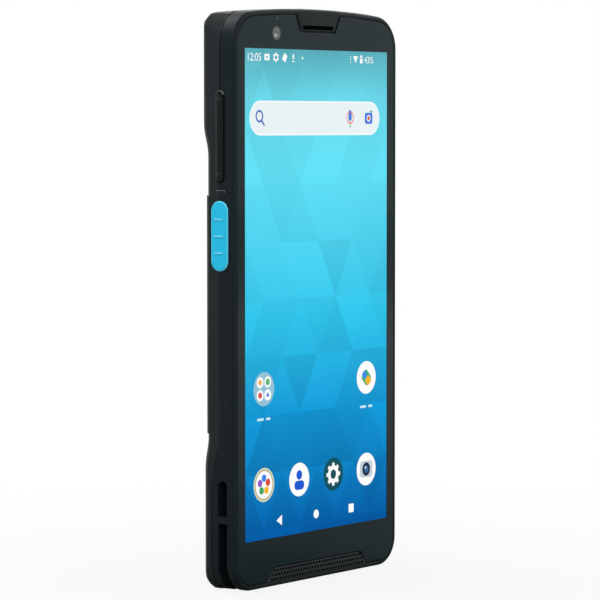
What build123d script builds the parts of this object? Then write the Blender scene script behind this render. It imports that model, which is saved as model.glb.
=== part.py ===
from build123d import *
from collections import namedtuple
from math import atan2, cos, pi, sin, sqrt
import os

# Portable barcode data terminal, millimetres.
# X runs across the screen, Y from the screen to the back, Z up; the origin is under the middle of
# the foot. "Depth" is measured back from the face of the screen glass.

# Screen, and the borders from its lit area to the outside of the housing
DISPLAY_WIDTH = 68.04
DISPLAY_HEIGHT = 136.08
SIDE_BORDER = 4.98
CHIN = 13.66
FOREHEAD = 11.51
GLASS_THICKNESS = 0.7
PANEL_THICKNESS = 1.4
PANEL_MARGIN = 1.1
PANEL_DRIVER_LEDGE = 3.0
PANEL_CLEARANCE = 0.2
BOND_LINE = 0.1

# Housing outline, seen from the front
TOP_ARCH_RADIUS = 380.0
TOP_CORNER_RADIUS = 9.5
FOOT_CORNER_RADIUS = 8.0
BACK_TOP_RADIUS = 3.5
BACK_FOOT_RADIUS = 5.0
CORNER_FLATS = 4
RIM_WIDTH = 1.5
RIM_BEVEL = 0.6
RIM_EASE = 0.2
RIM_INNER_CHAMFER = 0.15
GLASS_GAP = 0.15

# Housing section, from the side
HEAD_DEPTH = 11.8
HEAD_LENGTH = 31.55
WAIST_DEPTH = 10.3
WAIST_LENGTH = 10.2
FOOT_DEPTH = 11.45
FOOT_LENGTH = 33.7
RAMP_LENGTH = 10.0
BACK_BEVEL = 1.75
BACK_EASE = 0.4
BACK_WALL = 1.2
SEAM_DEPTH = 4.9
FOOT_SEAM_DEPTH = 7.9
FOOT_SEAM_HEIGHT = 29.0
FOOT_SEAM_RISE = 16.0
SEAM_CLEARANCE = 0.04
SEAM_LINE_WIDTH = 0.24
SEAM_LINE_DEPTH = 0.9

# Room inside the housing
SIDE_RAIL = 6.7
FOOT_RAIL = 3.6
HEAD_RAIL = 4.25
CAVITY_CORNER = 3.0
PLATE_THICKNESS = 0.8
PLATE_GAP = 0.08
ADHESIVE_THICKNESS = 0.1
ADHESIVE_WIDTH = 0.7
ADHESIVE_SETBACK = 0.1
GASKET_WIDTH = 0.9
GASKET_THICKNESS = 0.7
GASKET_SETBACK = 0.6

# Top tongue with the earpiece slot
TONGUE_ROOT_WIDTH = 22.4
TONGUE_TIP_WIDTH = 16.0
TONGUE_DROP = 6.25
TONGUE_CORNER_RADIUS = 1.2
TONGUE_SHADOW = 0.35
EARPIECE_WIDTH = 14.6
EARPIECE_HEIGHT = 1.15
EARPIECE_LIP = 0.4
EARPIECE_MESH_DEPTH = 0.35

# Loudspeaker grille
GRILLE_BASE_WIDTH = 48.4
GRILLE_TOP_WIDTH = 41.6
GRILLE_FLOOR = 1.2
GRILLE_HEIGHT = 4.05
GRILLE_CORNER_RADIUS = 1.4
GRILLE_THICKNESS = 1.3
GRILLE_HOLE_RADIUS = 0.42
GRILLE_HOLE_SIDES = 4
GRILLE_PITCH = 1.32
GRILLE_ROW_PITCH = 1.25
GRILLE_ROWS = 3
GRILLE_TOP_ROW_HOLES = 32
GRILLE_TOP_ROW_HEIGHT = 4.5
GRILLE_MESH_THICKNESS = 0.1

# Front camera and indicator, behind the glass
FRONT_CAMERA_FROM_SIDE = 18.8
FRONT_CAMERA_DROP = 7.15
FRONT_CAMERA_BODY = 5.4
FRONT_CAMERA_LENGTH = 2.8
FRONT_CAMERA_BARREL_RADIUS = 1.9
FRONT_LENS_RADIUS = 0.95
LENS_SINK = 0.3
MODULE_GAP = 0.1
INDICATOR_FROM_SIDE = 19.3
INDICATOR_DROP = 3.05
INDICATOR_RADIUS = 0.45

# Strap anchors at the foot corners
STRAP_CHANNEL_DEPTH = 2.5
STRAP_CHANNEL_WIDTH = 3.1
STRAP_CHANNEL_BITE = 3.6
STRAP_CHANNEL_TOP = 30.9
STRAP_CHANNEL_END = 26.0
STRAP_BAR_HEIGHT = 19.1
STRAP_BAR_WIDTH = 2.0
STRAP_BAR_THICKNESS = 2.0
STRAP_WALL = 1.2

# Side keys
KEY_DEPTH = 4.8
KEY_GAP = 0.15
KEY_END_ROUNDING = 0.48
KEY_WALL = 1.7
KEY_FLANGE = 0.8
KEY_FLANGE_LIP = 0.8
KEY_RETAINER_GAP = 0.1
KEY_ROOM = 0.5
KEY_NUB_RADIUS = 0.9
KEY_NUB_LENGTH = 0.85
SCAN_KEY_WIDTH = 5.7
SCAN_KEY_LENGTH = 19.2
SCAN_KEY_PROUD = 0.6
SCAN_KEY_BELOW_COVER_TOP = 11.2
SCAN_RIDGE_LENGTH = 2.9
SCAN_RIDGE_WIDTH = 0.45
SCAN_RIDGE_PROUD = 0.28
SCAN_RIDGE_PITCH = 4.6
ROCKER_WIDTH = 2.9
ROCKER_LENGTH = 25.2
ROCKER_PROUD = 0.5
ROCKER_ABOVE_COVER_TOP = 16.1
ROCKER_NUB_SPREAD = 8.0
ROCKER_FLANGE_LENGTH = 5.0
POWER_KEY_LENGTH = 11.0
KEY_BEVEL = 0.35
DOME_LENGTH = 3.0
DOME_WIDTH = 2.4
DOME_THICKNESS = 0.35
STRIP_THICKNESS = 0.2
STRIP_WIDTH = 2.4
STRIP_CLEARANCE = 0.3

# Battery pack and its well
COVER_SEAM_DEPTH = 8.5
COVER_PROUD = 0.3
COVER_WALL = 1.2
COVER_SIDE_BEVEL = 1.5
COVER_SIDE_EASE = 0.35
COVER_END_BEVEL = 0.25
COVER_GAP = 0.1
WELL_LIP = 1.2
WELL_LIP_HEIGHT = 0.8
WELL_LIP_CLEARANCE = 0.3
WELL_RAIL = 7.7
WELL_SETBACK = 3.3
WELL_FLOOR = 0.9
WELL_FLOOR_GAP = 0.4
TUB_CLEARANCE = 0.2
PACK_CLEARANCE = 0.2
PACK_EDGE_BEVEL = 0.8
ANTENNA_THICKNESS = 0.05
ANTENNA_WIDTH = 40.0
ANTENNA_HEIGHT = 30.0
ANTENNA_TRACK = 3.0
CONNECTOR_WIDTH = 15.0
CONNECTOR_LENGTH = 2.6
CONNECTOR_HEIGHT = 3.2
CONTACT_COUNT = 5
CONTACT_PITCH = 2.6
CONTACT_WIDTH = 1.2
CONTACT_LENGTH = 0.45
CONTACT_GAP = 0.05
CONTACT_RISE = 1.4
PAD_THICKNESS = 0.05
PAD_OVERLAP = 0.2
PRY_NOTCH_WIDTH = 14.0
PRY_NOTCH_RADIUS = 6.0
PRY_NOTCH_BITE = 1.0

# Screws and inserts
SCREW_FROM_SIDE = 10.4
SCREW_HEAD_DROP = 8.75
SCREW_WAIST_RISE = 5.0
SCREW_FOOT_HEIGHT = 10.0
SCREW_RADIUS = 0.8
SCREW_HEAD_RADIUS = 1.5
SCREW_HEAD_HEIGHT = 0.8
SCREW_HEAD_SINK = 0.4
SCREW_BITE = 1.9
SCREW_CLEARANCE = 0.1
INSERT_LENGTH = 2.1
INSERT_RADIUS = 1.35
INSERT_CLEARANCE = 0.05
INSERT_SINK = 0.1
BOSS_RADIUS = 2.4

# Electronics in the head
BOARD_STANDOFF = 3.0
BOARD_THICKNESS = 0.8
BOARD_CLEARANCE = 0.6
STANDOFF_RADIUS = 1.4
POST_FROM_SIDE = 19.0
POST_ABOVE_COVER = 2.5
SHIELD_HEIGHT = 1.6
SHIELD_WALL = 0.2
PROCESSOR_CAN = (26.0, 20.0)
RADIO_CAN = (12.0, 20.0)
POWER_CAN = (22.0, 16.0)
CAN_GAP = 2.0
ENGINE_WIDTH = 22.0
ENGINE_DEPTH = 5.2
ENGINE_HEIGHT = 12.0
ENGINE_DROP = 3.4
ENGINE_STANDOFF = 2.2
ENGINE_RAIL = 3.0
ENGINE_LENS_SINK = 0.8
ENGINE_LENS_RADIUS = 1.5
SCAN_WINDOW_WIDTH = 25.0
SCAN_WINDOW_DEPTH = 4.0
SCAN_WINDOW_SETBACK = 0.7
SCAN_WINDOW_THICKNESS = 1.2
SCAN_WINDOW_SINK = 0.45
SCAN_WINDOW_LEDGE = 0.5
SCAN_WINDOW_CORNER = 0.6
SCAN_WINDOW_GAP = 0.05
REAR_CAMERA_FROM_SIDE = 19.0
REAR_CAMERA_DROP = 14.3
REAR_CAMERA_BODY = 8.4
REAR_CAMERA_BARREL_RADIUS = 3.4
REAR_LENS_RADIUS = 1.7
REAR_WINDOW_WIDTH = 10.2
REAR_WINDOW_LENGTH = 18.2
REAR_WINDOW_THICKNESS = 0.7
REAR_WINDOW_GAP = 0.05
REAR_WINDOW_SINK = 0.1
FLASH_DROP = 8.2
FLASH_RADIUS = 1.6
REAR_MODULE_CLEARANCE = 0.2
RECEIVER_WIDTH = 12.0
RECEIVER_HEIGHT = 5.0
RECEIVER_THICKNESS = 2.3
RECEIVER_SINK = 1.2

# Electronics in the foot
FOOT_BOARD_WIDTH = 50.0
FOOT_BOARD_TOP = 40.0
FOOT_BOARD_NECK = 24.0
FOOT_BOARD_TONGUE_WIDTH = 25.0
FOOT_BOARD_BOTTOM = 4.0
FOOT_BOARD_STANDOFF = 0.2
PAD_MARGIN = 2.6
PORT_WIDTH = 8.94
PORT_HEIGHT = 3.2
PORT_LENGTH = 7.35
PORT_SINK = 0.3
PORT_SHELL = 0.3
PORT_TONGUE = 0.7
PORT_TONGUE_WIDTH = 6.7
PORT_TONGUE_SINK = 0.8
PORT_BACK = 1.5
PORT_GAP = 0.15
MIC_FROM_PORT = 5.5
MIC_SIZE = 2.8
MIC_HEIGHT = 1.0
MIC_HOLE_RADIUS = 0.5
SPEAKER_FROM_SIDE = 20.0
SPEAKER_Z = 15.5
SPEAKER_WIDTH = 11.0
SPEAKER_LENGTH = 16.0
SPEAKER_THICKNESS = 4.0
SPEAKER_CONE_RADIUS = 4.2
SPEAKER_CHANNEL_DEPTH = 0.6
DUCT_WIDTH = 9.0
DUCT_HEIGHT = 2.8
DUCT_RISE = 0.8
MOTOR_FROM_SIDE = 20.0
MOTOR_Z = 15.0
MOTOR_RADIUS = 4.0
MOTOR_THICKNESS = 2.7
LINK_X = -10.0
LINK_WIDTH = 9.0
LINK_THICKNESS = 0.15
LINK_RISE = 3.0
LINK_OVERLAP = 2.0

# Reach of cuts that pass right out of a piece, and sides of small round posts and fasteners
BEYOND = 20.0
PEG_SIDES = 8

# Values that follow from the ones above
BODY_WIDTH = DISPLAY_WIDTH + 2 * SIDE_BORDER
BODY_HEIGHT = CHIN + DISPLAY_HEIGHT + FOREHEAD
HALF_WIDTH = BODY_WIDTH / 2
MIDDLE_DEPTH = HEAD_DEPTH / 2
FRONT_CAMERA_X = FRONT_CAMERA_FROM_SIDE - HALF_WIDTH
INDICATOR_X = INDICATOR_FROM_SIDE - HALF_WIDTH
SCREW_X = HALF_WIDTH - SCREW_FROM_SIDE
REAR_CAMERA_X = HALF_WIDTH - REAR_CAMERA_FROM_SIDE
SPEAKER_X = SPEAKER_FROM_SIDE - HALF_WIDTH
MOTOR_X = HALF_WIDTH - MOTOR_FROM_SIDE
MIC_X = PORT_WIDTH / 2 + MIC_FROM_PORT
PANEL_FACE = GLASS_THICKNESS + BOND_LINE
PLATE_FACE = PANEL_FACE + PANEL_THICKNESS + PLATE_GAP
PLATE_BACK = PLATE_FACE + PLATE_THICKNESS
LEDGE_DEPTH = GLASS_THICKNESS + ADHESIVE_THICKNESS
WAIST_TOP = BODY_HEIGHT - HEAD_LENGTH - RAMP_LENGTH
COVER_TOP = WAIST_TOP - WAIST_LENGTH
COVER_BOTTOM = FOOT_LENGTH + RAMP_LENGTH
COVER_DEPTH = WAIST_DEPTH + COVER_PROUD
COVER_INSIDE = COVER_DEPTH - COVER_WALL
WELL_HALF_WIDTH = HALF_WIDTH - WELL_RAIL
WELL_BOTTOM = COVER_BOTTOM + WELL_SETBACK
WELL_TOP = COVER_TOP - WELL_SETBACK
WELL_FACE = PLATE_BACK + WELL_FLOOR_GAP
WELL_FLOOR_BACK = WELL_FACE + WELL_FLOOR
CAVITY_HALF_WIDTH = HALF_WIDTH - SIDE_RAIL
CAVITY_TOP = BODY_HEIGHT - HEAD_RAIL
SCAN_WINDOW_FLOOR = BODY_HEIGHT - SCAN_WINDOW_SINK - SCAN_WINDOW_THICKNESS
REAR_WINDOW_FLOOR = HEAD_DEPTH - REAR_WINDOW_SINK - REAR_WINDOW_THICKNESS
FRONT_CAMERA_SEAT = PLATE_BACK - PLATE_THICKNESS / 4
RECEIVER_SEAT = PLATE_BACK - RECEIVER_SINK
BOARD_FACE = PLATE_BACK + BOARD_STANDOFF
BOARD_BACK = BOARD_FACE + BOARD_THICKNESS
BOARD_POSTS = [
    (HALF_WIDTH - POST_FROM_SIDE, COVER_TOP + POST_ABOVE_COVER),
    (CAVITY_HALF_WIDTH - 2 * STANDOFF_RADIUS, WAIST_TOP + RAMP_LENGTH),
]
FOOT_BOARD_PADS = [
    (FOOT_BOARD_WIDTH / 2 - PAD_MARGIN, FOOT_BOARD_TOP - PAD_MARGIN),
    (FOOT_BOARD_TONGUE_WIDTH / 2 - PAD_MARGIN, FOOT_BOARD_NECK - PAD_MARGIN),
]
KEY_WALL_INSIDE = HALF_WIDTH - KEY_WALL
KEY_FLANGE_TOP = KEY_WALL_INSIDE - KEY_RETAINER_GAP
KEY_INSIDE = KEY_FLANGE_TOP - KEY_FLANGE
STRIP_INSIDE = KEY_INSIDE - KEY_NUB_LENGTH - KEY_ROOM - DOME_THICKNESS - STRIP_THICKNESS
ROCKER_Z = COVER_TOP + ROCKER_ABOVE_COVER_TOP
SCAN_KEY_Z = COVER_TOP - SCAN_KEY_BELOW_COVER_TOP

SideKey = namedtuple("SideKey", "side height width length proud nubs flange")
SCAN_FLANGE = (SCAN_KEY_WIDTH, SCAN_KEY_LENGTH + 2 * KEY_FLANGE_LIP)
ROCKER_FLANGE = (ROCKER_WIDTH + 2 * KEY_FLANGE_LIP, ROCKER_FLANGE_LENGTH)
POWER_FLANGE = (ROCKER_WIDTH, POWER_KEY_LENGTH + 2 * KEY_FLANGE_LIP)
ROCKER_NUBS = (-ROCKER_NUB_SPREAD, ROCKER_NUB_SPREAD)
KEYS = {
    "volume_rocker": SideKey(
        -1, ROCKER_Z, ROCKER_WIDTH, ROCKER_LENGTH, ROCKER_PROUD, ROCKER_NUBS, ROCKER_FLANGE
    ),
    "scan_key_left": SideKey(
        -1, SCAN_KEY_Z, SCAN_KEY_WIDTH, SCAN_KEY_LENGTH, SCAN_KEY_PROUD, (0,), SCAN_FLANGE
    ),
    "scan_key_right": SideKey(
        1, SCAN_KEY_Z, SCAN_KEY_WIDTH, SCAN_KEY_LENGTH, SCAN_KEY_PROUD, (0,), SCAN_FLANGE
    ),
    "power_key": SideKey(
        1, ROCKER_Z, ROCKER_WIDTH, POWER_KEY_LENGTH, ROCKER_PROUD, (0,), POWER_FLANGE
    ),
}

Screw = namedtuple("Screw", "x z seam back")
SCREWS = [
    Screw(side * SCREW_X, z, seam, back)
    for side in (-1, 1)
    for z, seam, back in (
        (BODY_HEIGHT - SCREW_HEAD_DROP, SEAM_DEPTH, HEAD_DEPTH),
        (COVER_TOP + SCREW_WAIST_RISE, SEAM_DEPTH, WAIST_DEPTH),
        (SCREW_FOOT_HEIGHT, FOOT_SEAM_DEPTH, FOOT_DEPTH),
    )
]


# ---------------------------------------------------------------- drawing helpers


def front_prism(sketch, near, far):
    """A front-view outline pushed from one depth to another."""
    plane = Plane(origin=(0, near - MIDDLE_DEPTH, 0), x_dir=(1, 0, 0), z_dir=(0, -1, 0))
    return extrude(plane * sketch, amount=near - far)


def front_bevel(sketch, depth):
    """A front-view outline that narrows at 45 degrees as it goes back from the face."""
    plane = Plane(origin=(0, -MIDDLE_DEPTH, 0), x_dir=(1, 0, 0), z_dir=(0, -1, 0))
    return extrude(plane * sketch, amount=-depth, taper=45)


def side_prism(sketch, left, right):
    """A side-view outline, drawn as depth and height, pushed from one X to another."""
    plane = Plane(origin=(left, -MIDDLE_DEPTH, 0), x_dir=(0, 1, 0), z_dir=(1, 0, 0))
    return extrude(plane * sketch, amount=right - left)


def plan_prism(sketch, low, high):
    """A plan-view outline, drawn as X and depth, pushed from one height to another."""
    plane = Plane(origin=(0, -MIDDLE_DEPTH, low), x_dir=(1, 0, 0), z_dir=(0, 0, 1))
    return extrude(plane * sketch, amount=high - low)


def patch(left, right, low, high):
    """A rectangle between two edges each way."""
    return Pos((left + right) / 2, (low + high) / 2) * Rectangle(right - left, high - low)


def disc(x, z, radius):
    return Pos(x, z) * Circle(radius)


def peg(x, z, radius):
    """Outline of a small round post, hole or fastener inside the housing."""
    return Pos(x, z) * RegularPolygon(radius, PEG_SIDES)


def on_side(shape, side):
    """Right-hand shapes serve the left side mirrored."""
    return shape if side > 0 else mirror(shape, about=Plane.YZ)


def s_bend(start, end):
    """Two equal arcs that leave both ends upright."""
    middle = ((start[0] + end[0]) / 2, (start[1] + end[1]) / 2)
    return [TangentArc(start, middle, tangent=(0, 1)), TangentArc(end, middle, tangent=(0, -1))]


# ---------------------------------------------------------------- housing form


def square_outline(inset=0.0):
    """Front view before its corners are rounded: flat foot, straight sides, gently arched top."""
    half = HALF_WIDTH - inset
    arch = disc(0, BODY_HEIGHT - TOP_ARCH_RADIUS, TOP_ARCH_RADIUS - inset)
    return patch(-half, half, inset, BODY_HEIGHT - inset) & arch


def body_outline(inset=0.0):
    """Front view with its corners rounded as they are from the front to the seam."""
    outline = square_outline(inset)
    top_corners = outline.vertices().sort_by(Axis.Y)[-2:]
    outline = fillet(top_corners, TOP_CORNER_RADIUS - inset)
    foot_corners = outline.vertices().sort_by(Axis.Y)[:2]
    return fillet(foot_corners, FOOT_CORNER_RADIUS - inset)


def cavity_outline(grow=0.0):
    """The inside of the housing, seen from the front."""
    half = CAVITY_HALF_WIDTH + grow
    block = patch(-half, half, FOOT_RAIL - grow, CAVITY_TOP + grow)
    return chamfer(block.vertices(), CAVITY_CORNER)


def back_section(inset=0.0):
    """Side view of all that lies in front of the back: thick foot, slim waist, thick head."""
    foot = FOOT_DEPTH - inset
    waist = WAIST_DEPTH - inset
    head = HEAD_DEPTH - inset
    below = -BEYOND
    above = BODY_HEIGHT + BEYOND
    edges = [
        Line((below, below), (foot, below)),
        Line((foot, below), (foot, FOOT_LENGTH)),
        *s_bend((foot, FOOT_LENGTH), (waist, COVER_BOTTOM)),
        Line((waist, COVER_BOTTOM), (waist, WAIST_TOP)),
        *s_bend((waist, WAIST_TOP), (head, WAIST_TOP + RAMP_LENGTH)),
        Line((head, WAIST_TOP + RAMP_LENGTH), (head, above)),
        Line((head, above), (below, above)),
        Line((below, above), (below, below)),
    ]
    return make_face(edges)


def seam_section(shift=0.0):
    """Side view of all that lies in front of the parting seam, which drops back at the foot."""
    foot = FOOT_SEAM_DEPTH + shift
    upper = SEAM_DEPTH + shift
    bend_top = FOOT_SEAM_HEIGHT + FOOT_SEAM_RISE
    below = -BEYOND
    above = BODY_HEIGHT + BEYOND
    edges = [
        Line((below, below), (foot, below)),
        Line((foot, below), (foot, FOOT_SEAM_HEIGHT)),
        *s_bend((foot, FOOT_SEAM_HEIGHT), (upper, bend_top)),
        Line((upper, bend_top), (upper, above)),
        Line((upper, above), (below, above)),
        Line((below, above), (below, below)),
    ]
    return make_face(edges)


def across(section):
    """A side-view section carried through the whole width."""
    return side_prism(section, -BODY_WIDTH, BODY_WIDTH)


def softened(block, edges, bevel, ease):
    """Three narrow flats along the edges of a block, which read as a rounding."""
    cut = chamfer(edges, bevel)
    borders = [edge for edge in new_edges(block, combined=cut) if edge.length > 2 * bevel]
    return chamfer(borders, ease)


def top_corner(radius):
    """Centre of the right top corner and the angle at which it runs into the arch."""
    x = HALF_WIDTH - radius
    rise = sqrt((TOP_ARCH_RADIUS - radius) ** 2 - x**2)
    return Vector(x, BODY_HEIGHT - TOP_ARCH_RADIUS + rise), atan2(rise, x)


def foot_corner(radius):
    """Centre of the right foot corner and the angle at which it runs into the foot."""
    return Vector(HALF_WIDTH - radius, radius), -pi / 2


def corner_flat(corner, stages, share):
    """Plane of one flat, a share of the way round a corner that changes its radius in depth."""
    end = corner(stages[0][0])[1]
    outward = Vector(cos(end * share), sin(end * share))
    spots = []
    for radius, depth in stages:
        reach = corner(radius)[0].dot(outward) + radius * cos(end / CORNER_FLATS / 2)
        spots.append(Vector(outward.X * reach, depth - MIDDLE_DEPTH, outward.Y * reach))
    along = Vector(-outward.Y, 0, outward.X)
    return Plane(origin=spots[0], x_dir=along, z_dir=(spots[1] - spots[0]).cross(along))


def tightened(corner, stages, low, high):
    """Both rear corners of one end, turned in flats and getting tighter towards the back."""
    (_, near), (_, far) = stages
    block = front_prism(square_outline() & patch(0, HALF_WIDTH, low, high), near, far)
    for step in range(CORNER_FLATS):
        flat = corner_flat(corner, stages, (step + 0.5) / CORNER_FLATS)
        block = split(block, flat, keep=Keep.BOTTOM)
    return [block, mirror(block, about=Plane.YZ)]


def envelope():
    """The whole closed housing as one rounded block, without the battery cover."""
    block = front_prism(body_outline(), 0, HEAD_DEPTH)
    lag = SEAM_LINE_WIDTH / 2
    head = ((TOP_CORNER_RADIUS, SEAM_DEPTH + lag), (BACK_TOP_RADIUS, HEAD_DEPTH))
    foot = ((FOOT_CORNER_RADIUS, FOOT_SEAM_DEPTH + lag), (BACK_FOOT_RADIUS, FOOT_DEPTH))
    block += tightened(top_corner, head, COVER_TOP, BODY_HEIGHT)
    block += tightened(foot_corner, foot, 0, COVER_BOTTOM)
    block = block & across(back_section())
    front_edges = block.edges().group_by(Axis.Y)[0]
    block = softened(block, front_edges, RIM_BEVEL, RIM_EASE)
    back_limit = WAIST_DEPTH - MIDDLE_DEPTH - BACK_EASE
    back_edges = block.edges().filter_by(lambda edge: edge.center().Y > back_limit)
    ends = HEAD_LENGTH / 2
    rims = [
        edge
        for edge in back_edges
        if abs(edge.center().X) > 1 or not ends < edge.center().Z < BODY_HEIGHT - ends
    ]
    return softened(block, rims, BACK_BEVEL, BACK_EASE)


def cover_zone():
    """Side view of what the battery cover takes from the back."""
    return patch(COVER_SEAM_DEPTH, HEAD_DEPTH + BEYOND, COVER_BOTTOM, COVER_TOP)


def seam_line():
    """The fine open line round the outside where the two housings meet."""
    ring = body_outline() - body_outline(SEAM_LINE_DEPTH)
    half = SEAM_LINE_WIDTH / 2
    band = across(seam_section(half)) - across(seam_section(-half))
    return front_prism(ring, 0, HEAD_DEPTH) & band


def gasket_ring(slack=0.0):
    """The seal that lies across the seam, just outside the cavity."""
    inner = cavity_outline(GASKET_SETBACK - slack)
    outer = cavity_outline(GASKET_SETBACK + GASKET_WIDTH + slack)
    half = GASKET_THICKNESS / 2
    band = across(seam_section(half)) - across(seam_section(-half))
    return front_prism(outer - inner, 0, HEAD_DEPTH) & band


# ---------------------------------------------------------------- openings shared by the housings


def key_outline(key, grow=0.0):
    width = key.width + 2 * grow
    length = key.length + 2 * grow
    return Pos(KEY_DEPTH, key.height) * RectangleRounded(width, length, KEY_END_ROUNDING * width)


def flange_outline(key, grow=0.0):
    width = key.flange[0] + 2 * grow
    length = key.flange[1] + 2 * grow
    return Pos(KEY_DEPTH, key.height) * Rectangle(width, length)


def strip_reach(side):
    """Lowest and highest point of one side's switch strip."""
    spots = [k.height + nub for k in KEYS.values() if k.side == side for nub in k.nubs]
    return min(spots) - DOME_LENGTH, max(spots) + DOME_LENGTH


def strip_channel(side):
    low, high = strip_reach(side)
    half = STRIP_WIDTH / 2 + STRIP_CLEARANCE
    slot = patch(KEY_DEPTH - half, KEY_DEPTH + half, low - STRIP_CLEARANCE, high + STRIP_CLEARANCE)
    return on_side(side_prism(slot, STRIP_INSIDE, KEY_INSIDE), side)


def key_pocket(key):
    """The hole through the wall for the cap, and the wider room behind it for the flange."""
    hole = side_prism(key_outline(key, KEY_GAP), KEY_INSIDE - KEY_ROOM, HALF_WIDTH + BEYOND)
    room = side_prism(flange_outline(key, KEY_GAP), KEY_INSIDE - KEY_ROOM, KEY_WALL_INSIDE)
    return on_side(hole + room, key.side)


def key_cuts():
    return [key_pocket(key) for key in KEYS.values()] + [strip_channel(-1), strip_channel(1)]


# ---------------------------------------------------------------- front half


def tongue_outline(grow=0.0):
    """The tab of housing that comes down into the notch at the top of the glass."""
    root = TONGUE_ROOT_WIDTH / 2 + grow
    tip = TONGUE_TIP_WIDTH / 2 + grow
    low = BODY_HEIGHT - TONGUE_DROP - grow
    top = BODY_HEIGHT
    shape = make_face(Polyline((-root, top), (-tip, low), (tip, low), (root, top), close=True))
    return fillet(shape.vertices().sort_by(Axis.Y)[:2], TONGUE_CORNER_RADIUS)


def grille_outline(grow=0.0):
    """Trapezium of the loudspeaker grille."""
    base = GRILLE_BASE_WIDTH / 2 + grow
    top = GRILLE_TOP_WIDTH / 2 + grow
    low = GRILLE_FLOOR - grow
    high = GRILLE_FLOOR + GRILLE_HEIGHT + grow
    shape = make_face(Polyline((-base, low), (base, low), (top, high), (-top, high), close=True))
    return fillet(shape.vertices().sort_by(Axis.Y)[-2:], GRILLE_CORNER_RADIUS)


def glass_opening(grow=0.0):
    """The seat of the glass, between the rim and the tongue."""
    return body_outline(RIM_WIDTH - grow) - tongue_outline(-grow)


def glass_outline(inset=0.0):
    """The glass in its seat, with an open dark line left round the tongue."""
    seat = glass_opening(-inset) - grille_outline(inset)
    return seat - tongue_outline(inset + TONGUE_SHADOW)


def earpiece_outline(grow=0.0):
    low = BODY_HEIGHT - TONGUE_DROP + EARPIECE_LIP
    width = EARPIECE_WIDTH + 2 * grow
    height = EARPIECE_HEIGHT + 2 * grow
    return Pos(0, low + EARPIECE_HEIGHT / 2) * SlotOverall(width, height)


def panel_outline(grow=0.0):
    """The display module: lit area, margin, and the driver ledge below it."""
    half = DISPLAY_WIDTH / 2 + PANEL_MARGIN + grow
    low = CHIN - PANEL_DRIVER_LEDGE - grow
    high = CHIN + DISPLAY_HEIGHT + PANEL_MARGIN + grow
    return patch(-half, half, low, high)


def front_camera_outline(grow=0.0):
    size = FRONT_CAMERA_BODY + 2 * grow
    return Pos(FRONT_CAMERA_X, BODY_HEIGHT - FRONT_CAMERA_DROP) * Rectangle(size, size)


def front_barrel_outline(grow=0.0):
    return disc(
        FRONT_CAMERA_X, BODY_HEIGHT - FRONT_CAMERA_DROP, FRONT_CAMERA_BARREL_RADIUS + grow
    )


def receiver_outline(grow=0.0):
    low = CAVITY_TOP - RECEIVER_HEIGHT
    return Pos(0, low + RECEIVER_HEIGHT / 2) * Rectangle(
        RECEIVER_WIDTH + 2 * grow, RECEIVER_HEIGHT + 2 * grow
    )


def strap_channel(side):
    """The groove a strap loop runs in: down the side, behind the bar, round the corner."""
    radius = STRAP_CHANNEL_WIDTH / 2
    centre = STRAP_CHANNEL_DEPTH + radius
    round_top = STRAP_CHANNEL_TOP - radius
    far = STRAP_CHANNEL_DEPTH + STRAP_CHANNEL_WIDTH
    section = patch(STRAP_CHANNEL_DEPTH, far, -BEYOND, round_top) + disc(centre, round_top, radius)
    corner = patch(STRAP_CHANNEL_END, BODY_WIDTH, -BEYOND, STRAP_CHANNEL_TOP + BEYOND)
    groove = front_prism(corner - body_outline(STRAP_CHANNEL_BITE), 0, FOOT_DEPTH)
    groove = groove & side_prism(section, 0, BODY_WIDTH)
    bar_top = STRAP_BAR_HEIGHT + STRAP_BAR_THICKNESS
    bar_patch = patch(STRAP_CHANNEL_END, BODY_WIDTH, STRAP_BAR_HEIGHT, bar_top)
    bar = front_prism(bar_patch - body_outline(STRAP_BAR_WIDTH), 0, FOOT_DEPTH)
    return on_side(groove - bar, side)


def strap_corner(side):
    """Front view of the solid corner that carries the strap groove."""
    reach = STRAP_CHANNEL_END - STRAP_WALL
    top = STRAP_CHANNEL_TOP + STRAP_WALL
    corner = patch(reach, BODY_WIDTH, 0, top) - body_outline(STRAP_CHANNEL_BITE + STRAP_WALL)
    return corner if side > 0 else mirror(corner, about=Plane.YZ)


def foot_cavity_outline(grow=0.0):
    return cavity_outline(grow) - strap_corner(-1) - strap_corner(1)


def duct_outline():
    """The passage from the grille through the foot wall to the loudspeaker."""
    low = GRILLE_FLOOR + DUCT_RISE
    return patch(SPEAKER_X - DUCT_WIDTH / 2, SPEAKER_X + DUCT_WIDTH / 2, low, low + DUCT_HEIGHT)


def port_opening():
    """The rounded hole for the charging plug in the foot wall."""
    width = PORT_WIDTH + 2 * PORT_GAP
    height = PORT_HEIGHT + 2 * PORT_GAP
    centre = port_centre()
    return plan_prism(Pos(0, centre) * SlotOverall(width, height), -BEYOND, FOOT_RAIL + 1)


def port_centre():
    return PLATE_BACK + FOOT_BOARD_STANDOFF + BOARD_THICKNESS + PORT_HEIGHT / 2


def mic_centre():
    return PLATE_BACK + FOOT_BOARD_STANDOFF + BOARD_THICKNESS + MIC_HEIGHT / 2


def standoffs():
    """Posts on the plate that carry the main board, and pads under the foot board."""
    posts = [(PLATE_FACE, BOARD_FACE, x, z) for x, z in BOARD_POSTS]
    pads = [(PLATE_FACE, PLATE_BACK + FOOT_BOARD_STANDOFF, x, z) for x, z in FOOT_BOARD_PADS]
    return [
        front_prism(peg(side * x, z, STANDOFF_RADIUS), near, far)
        for near, far, x, z in posts + pads
        for side in (-1, 1)
    ]


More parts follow.
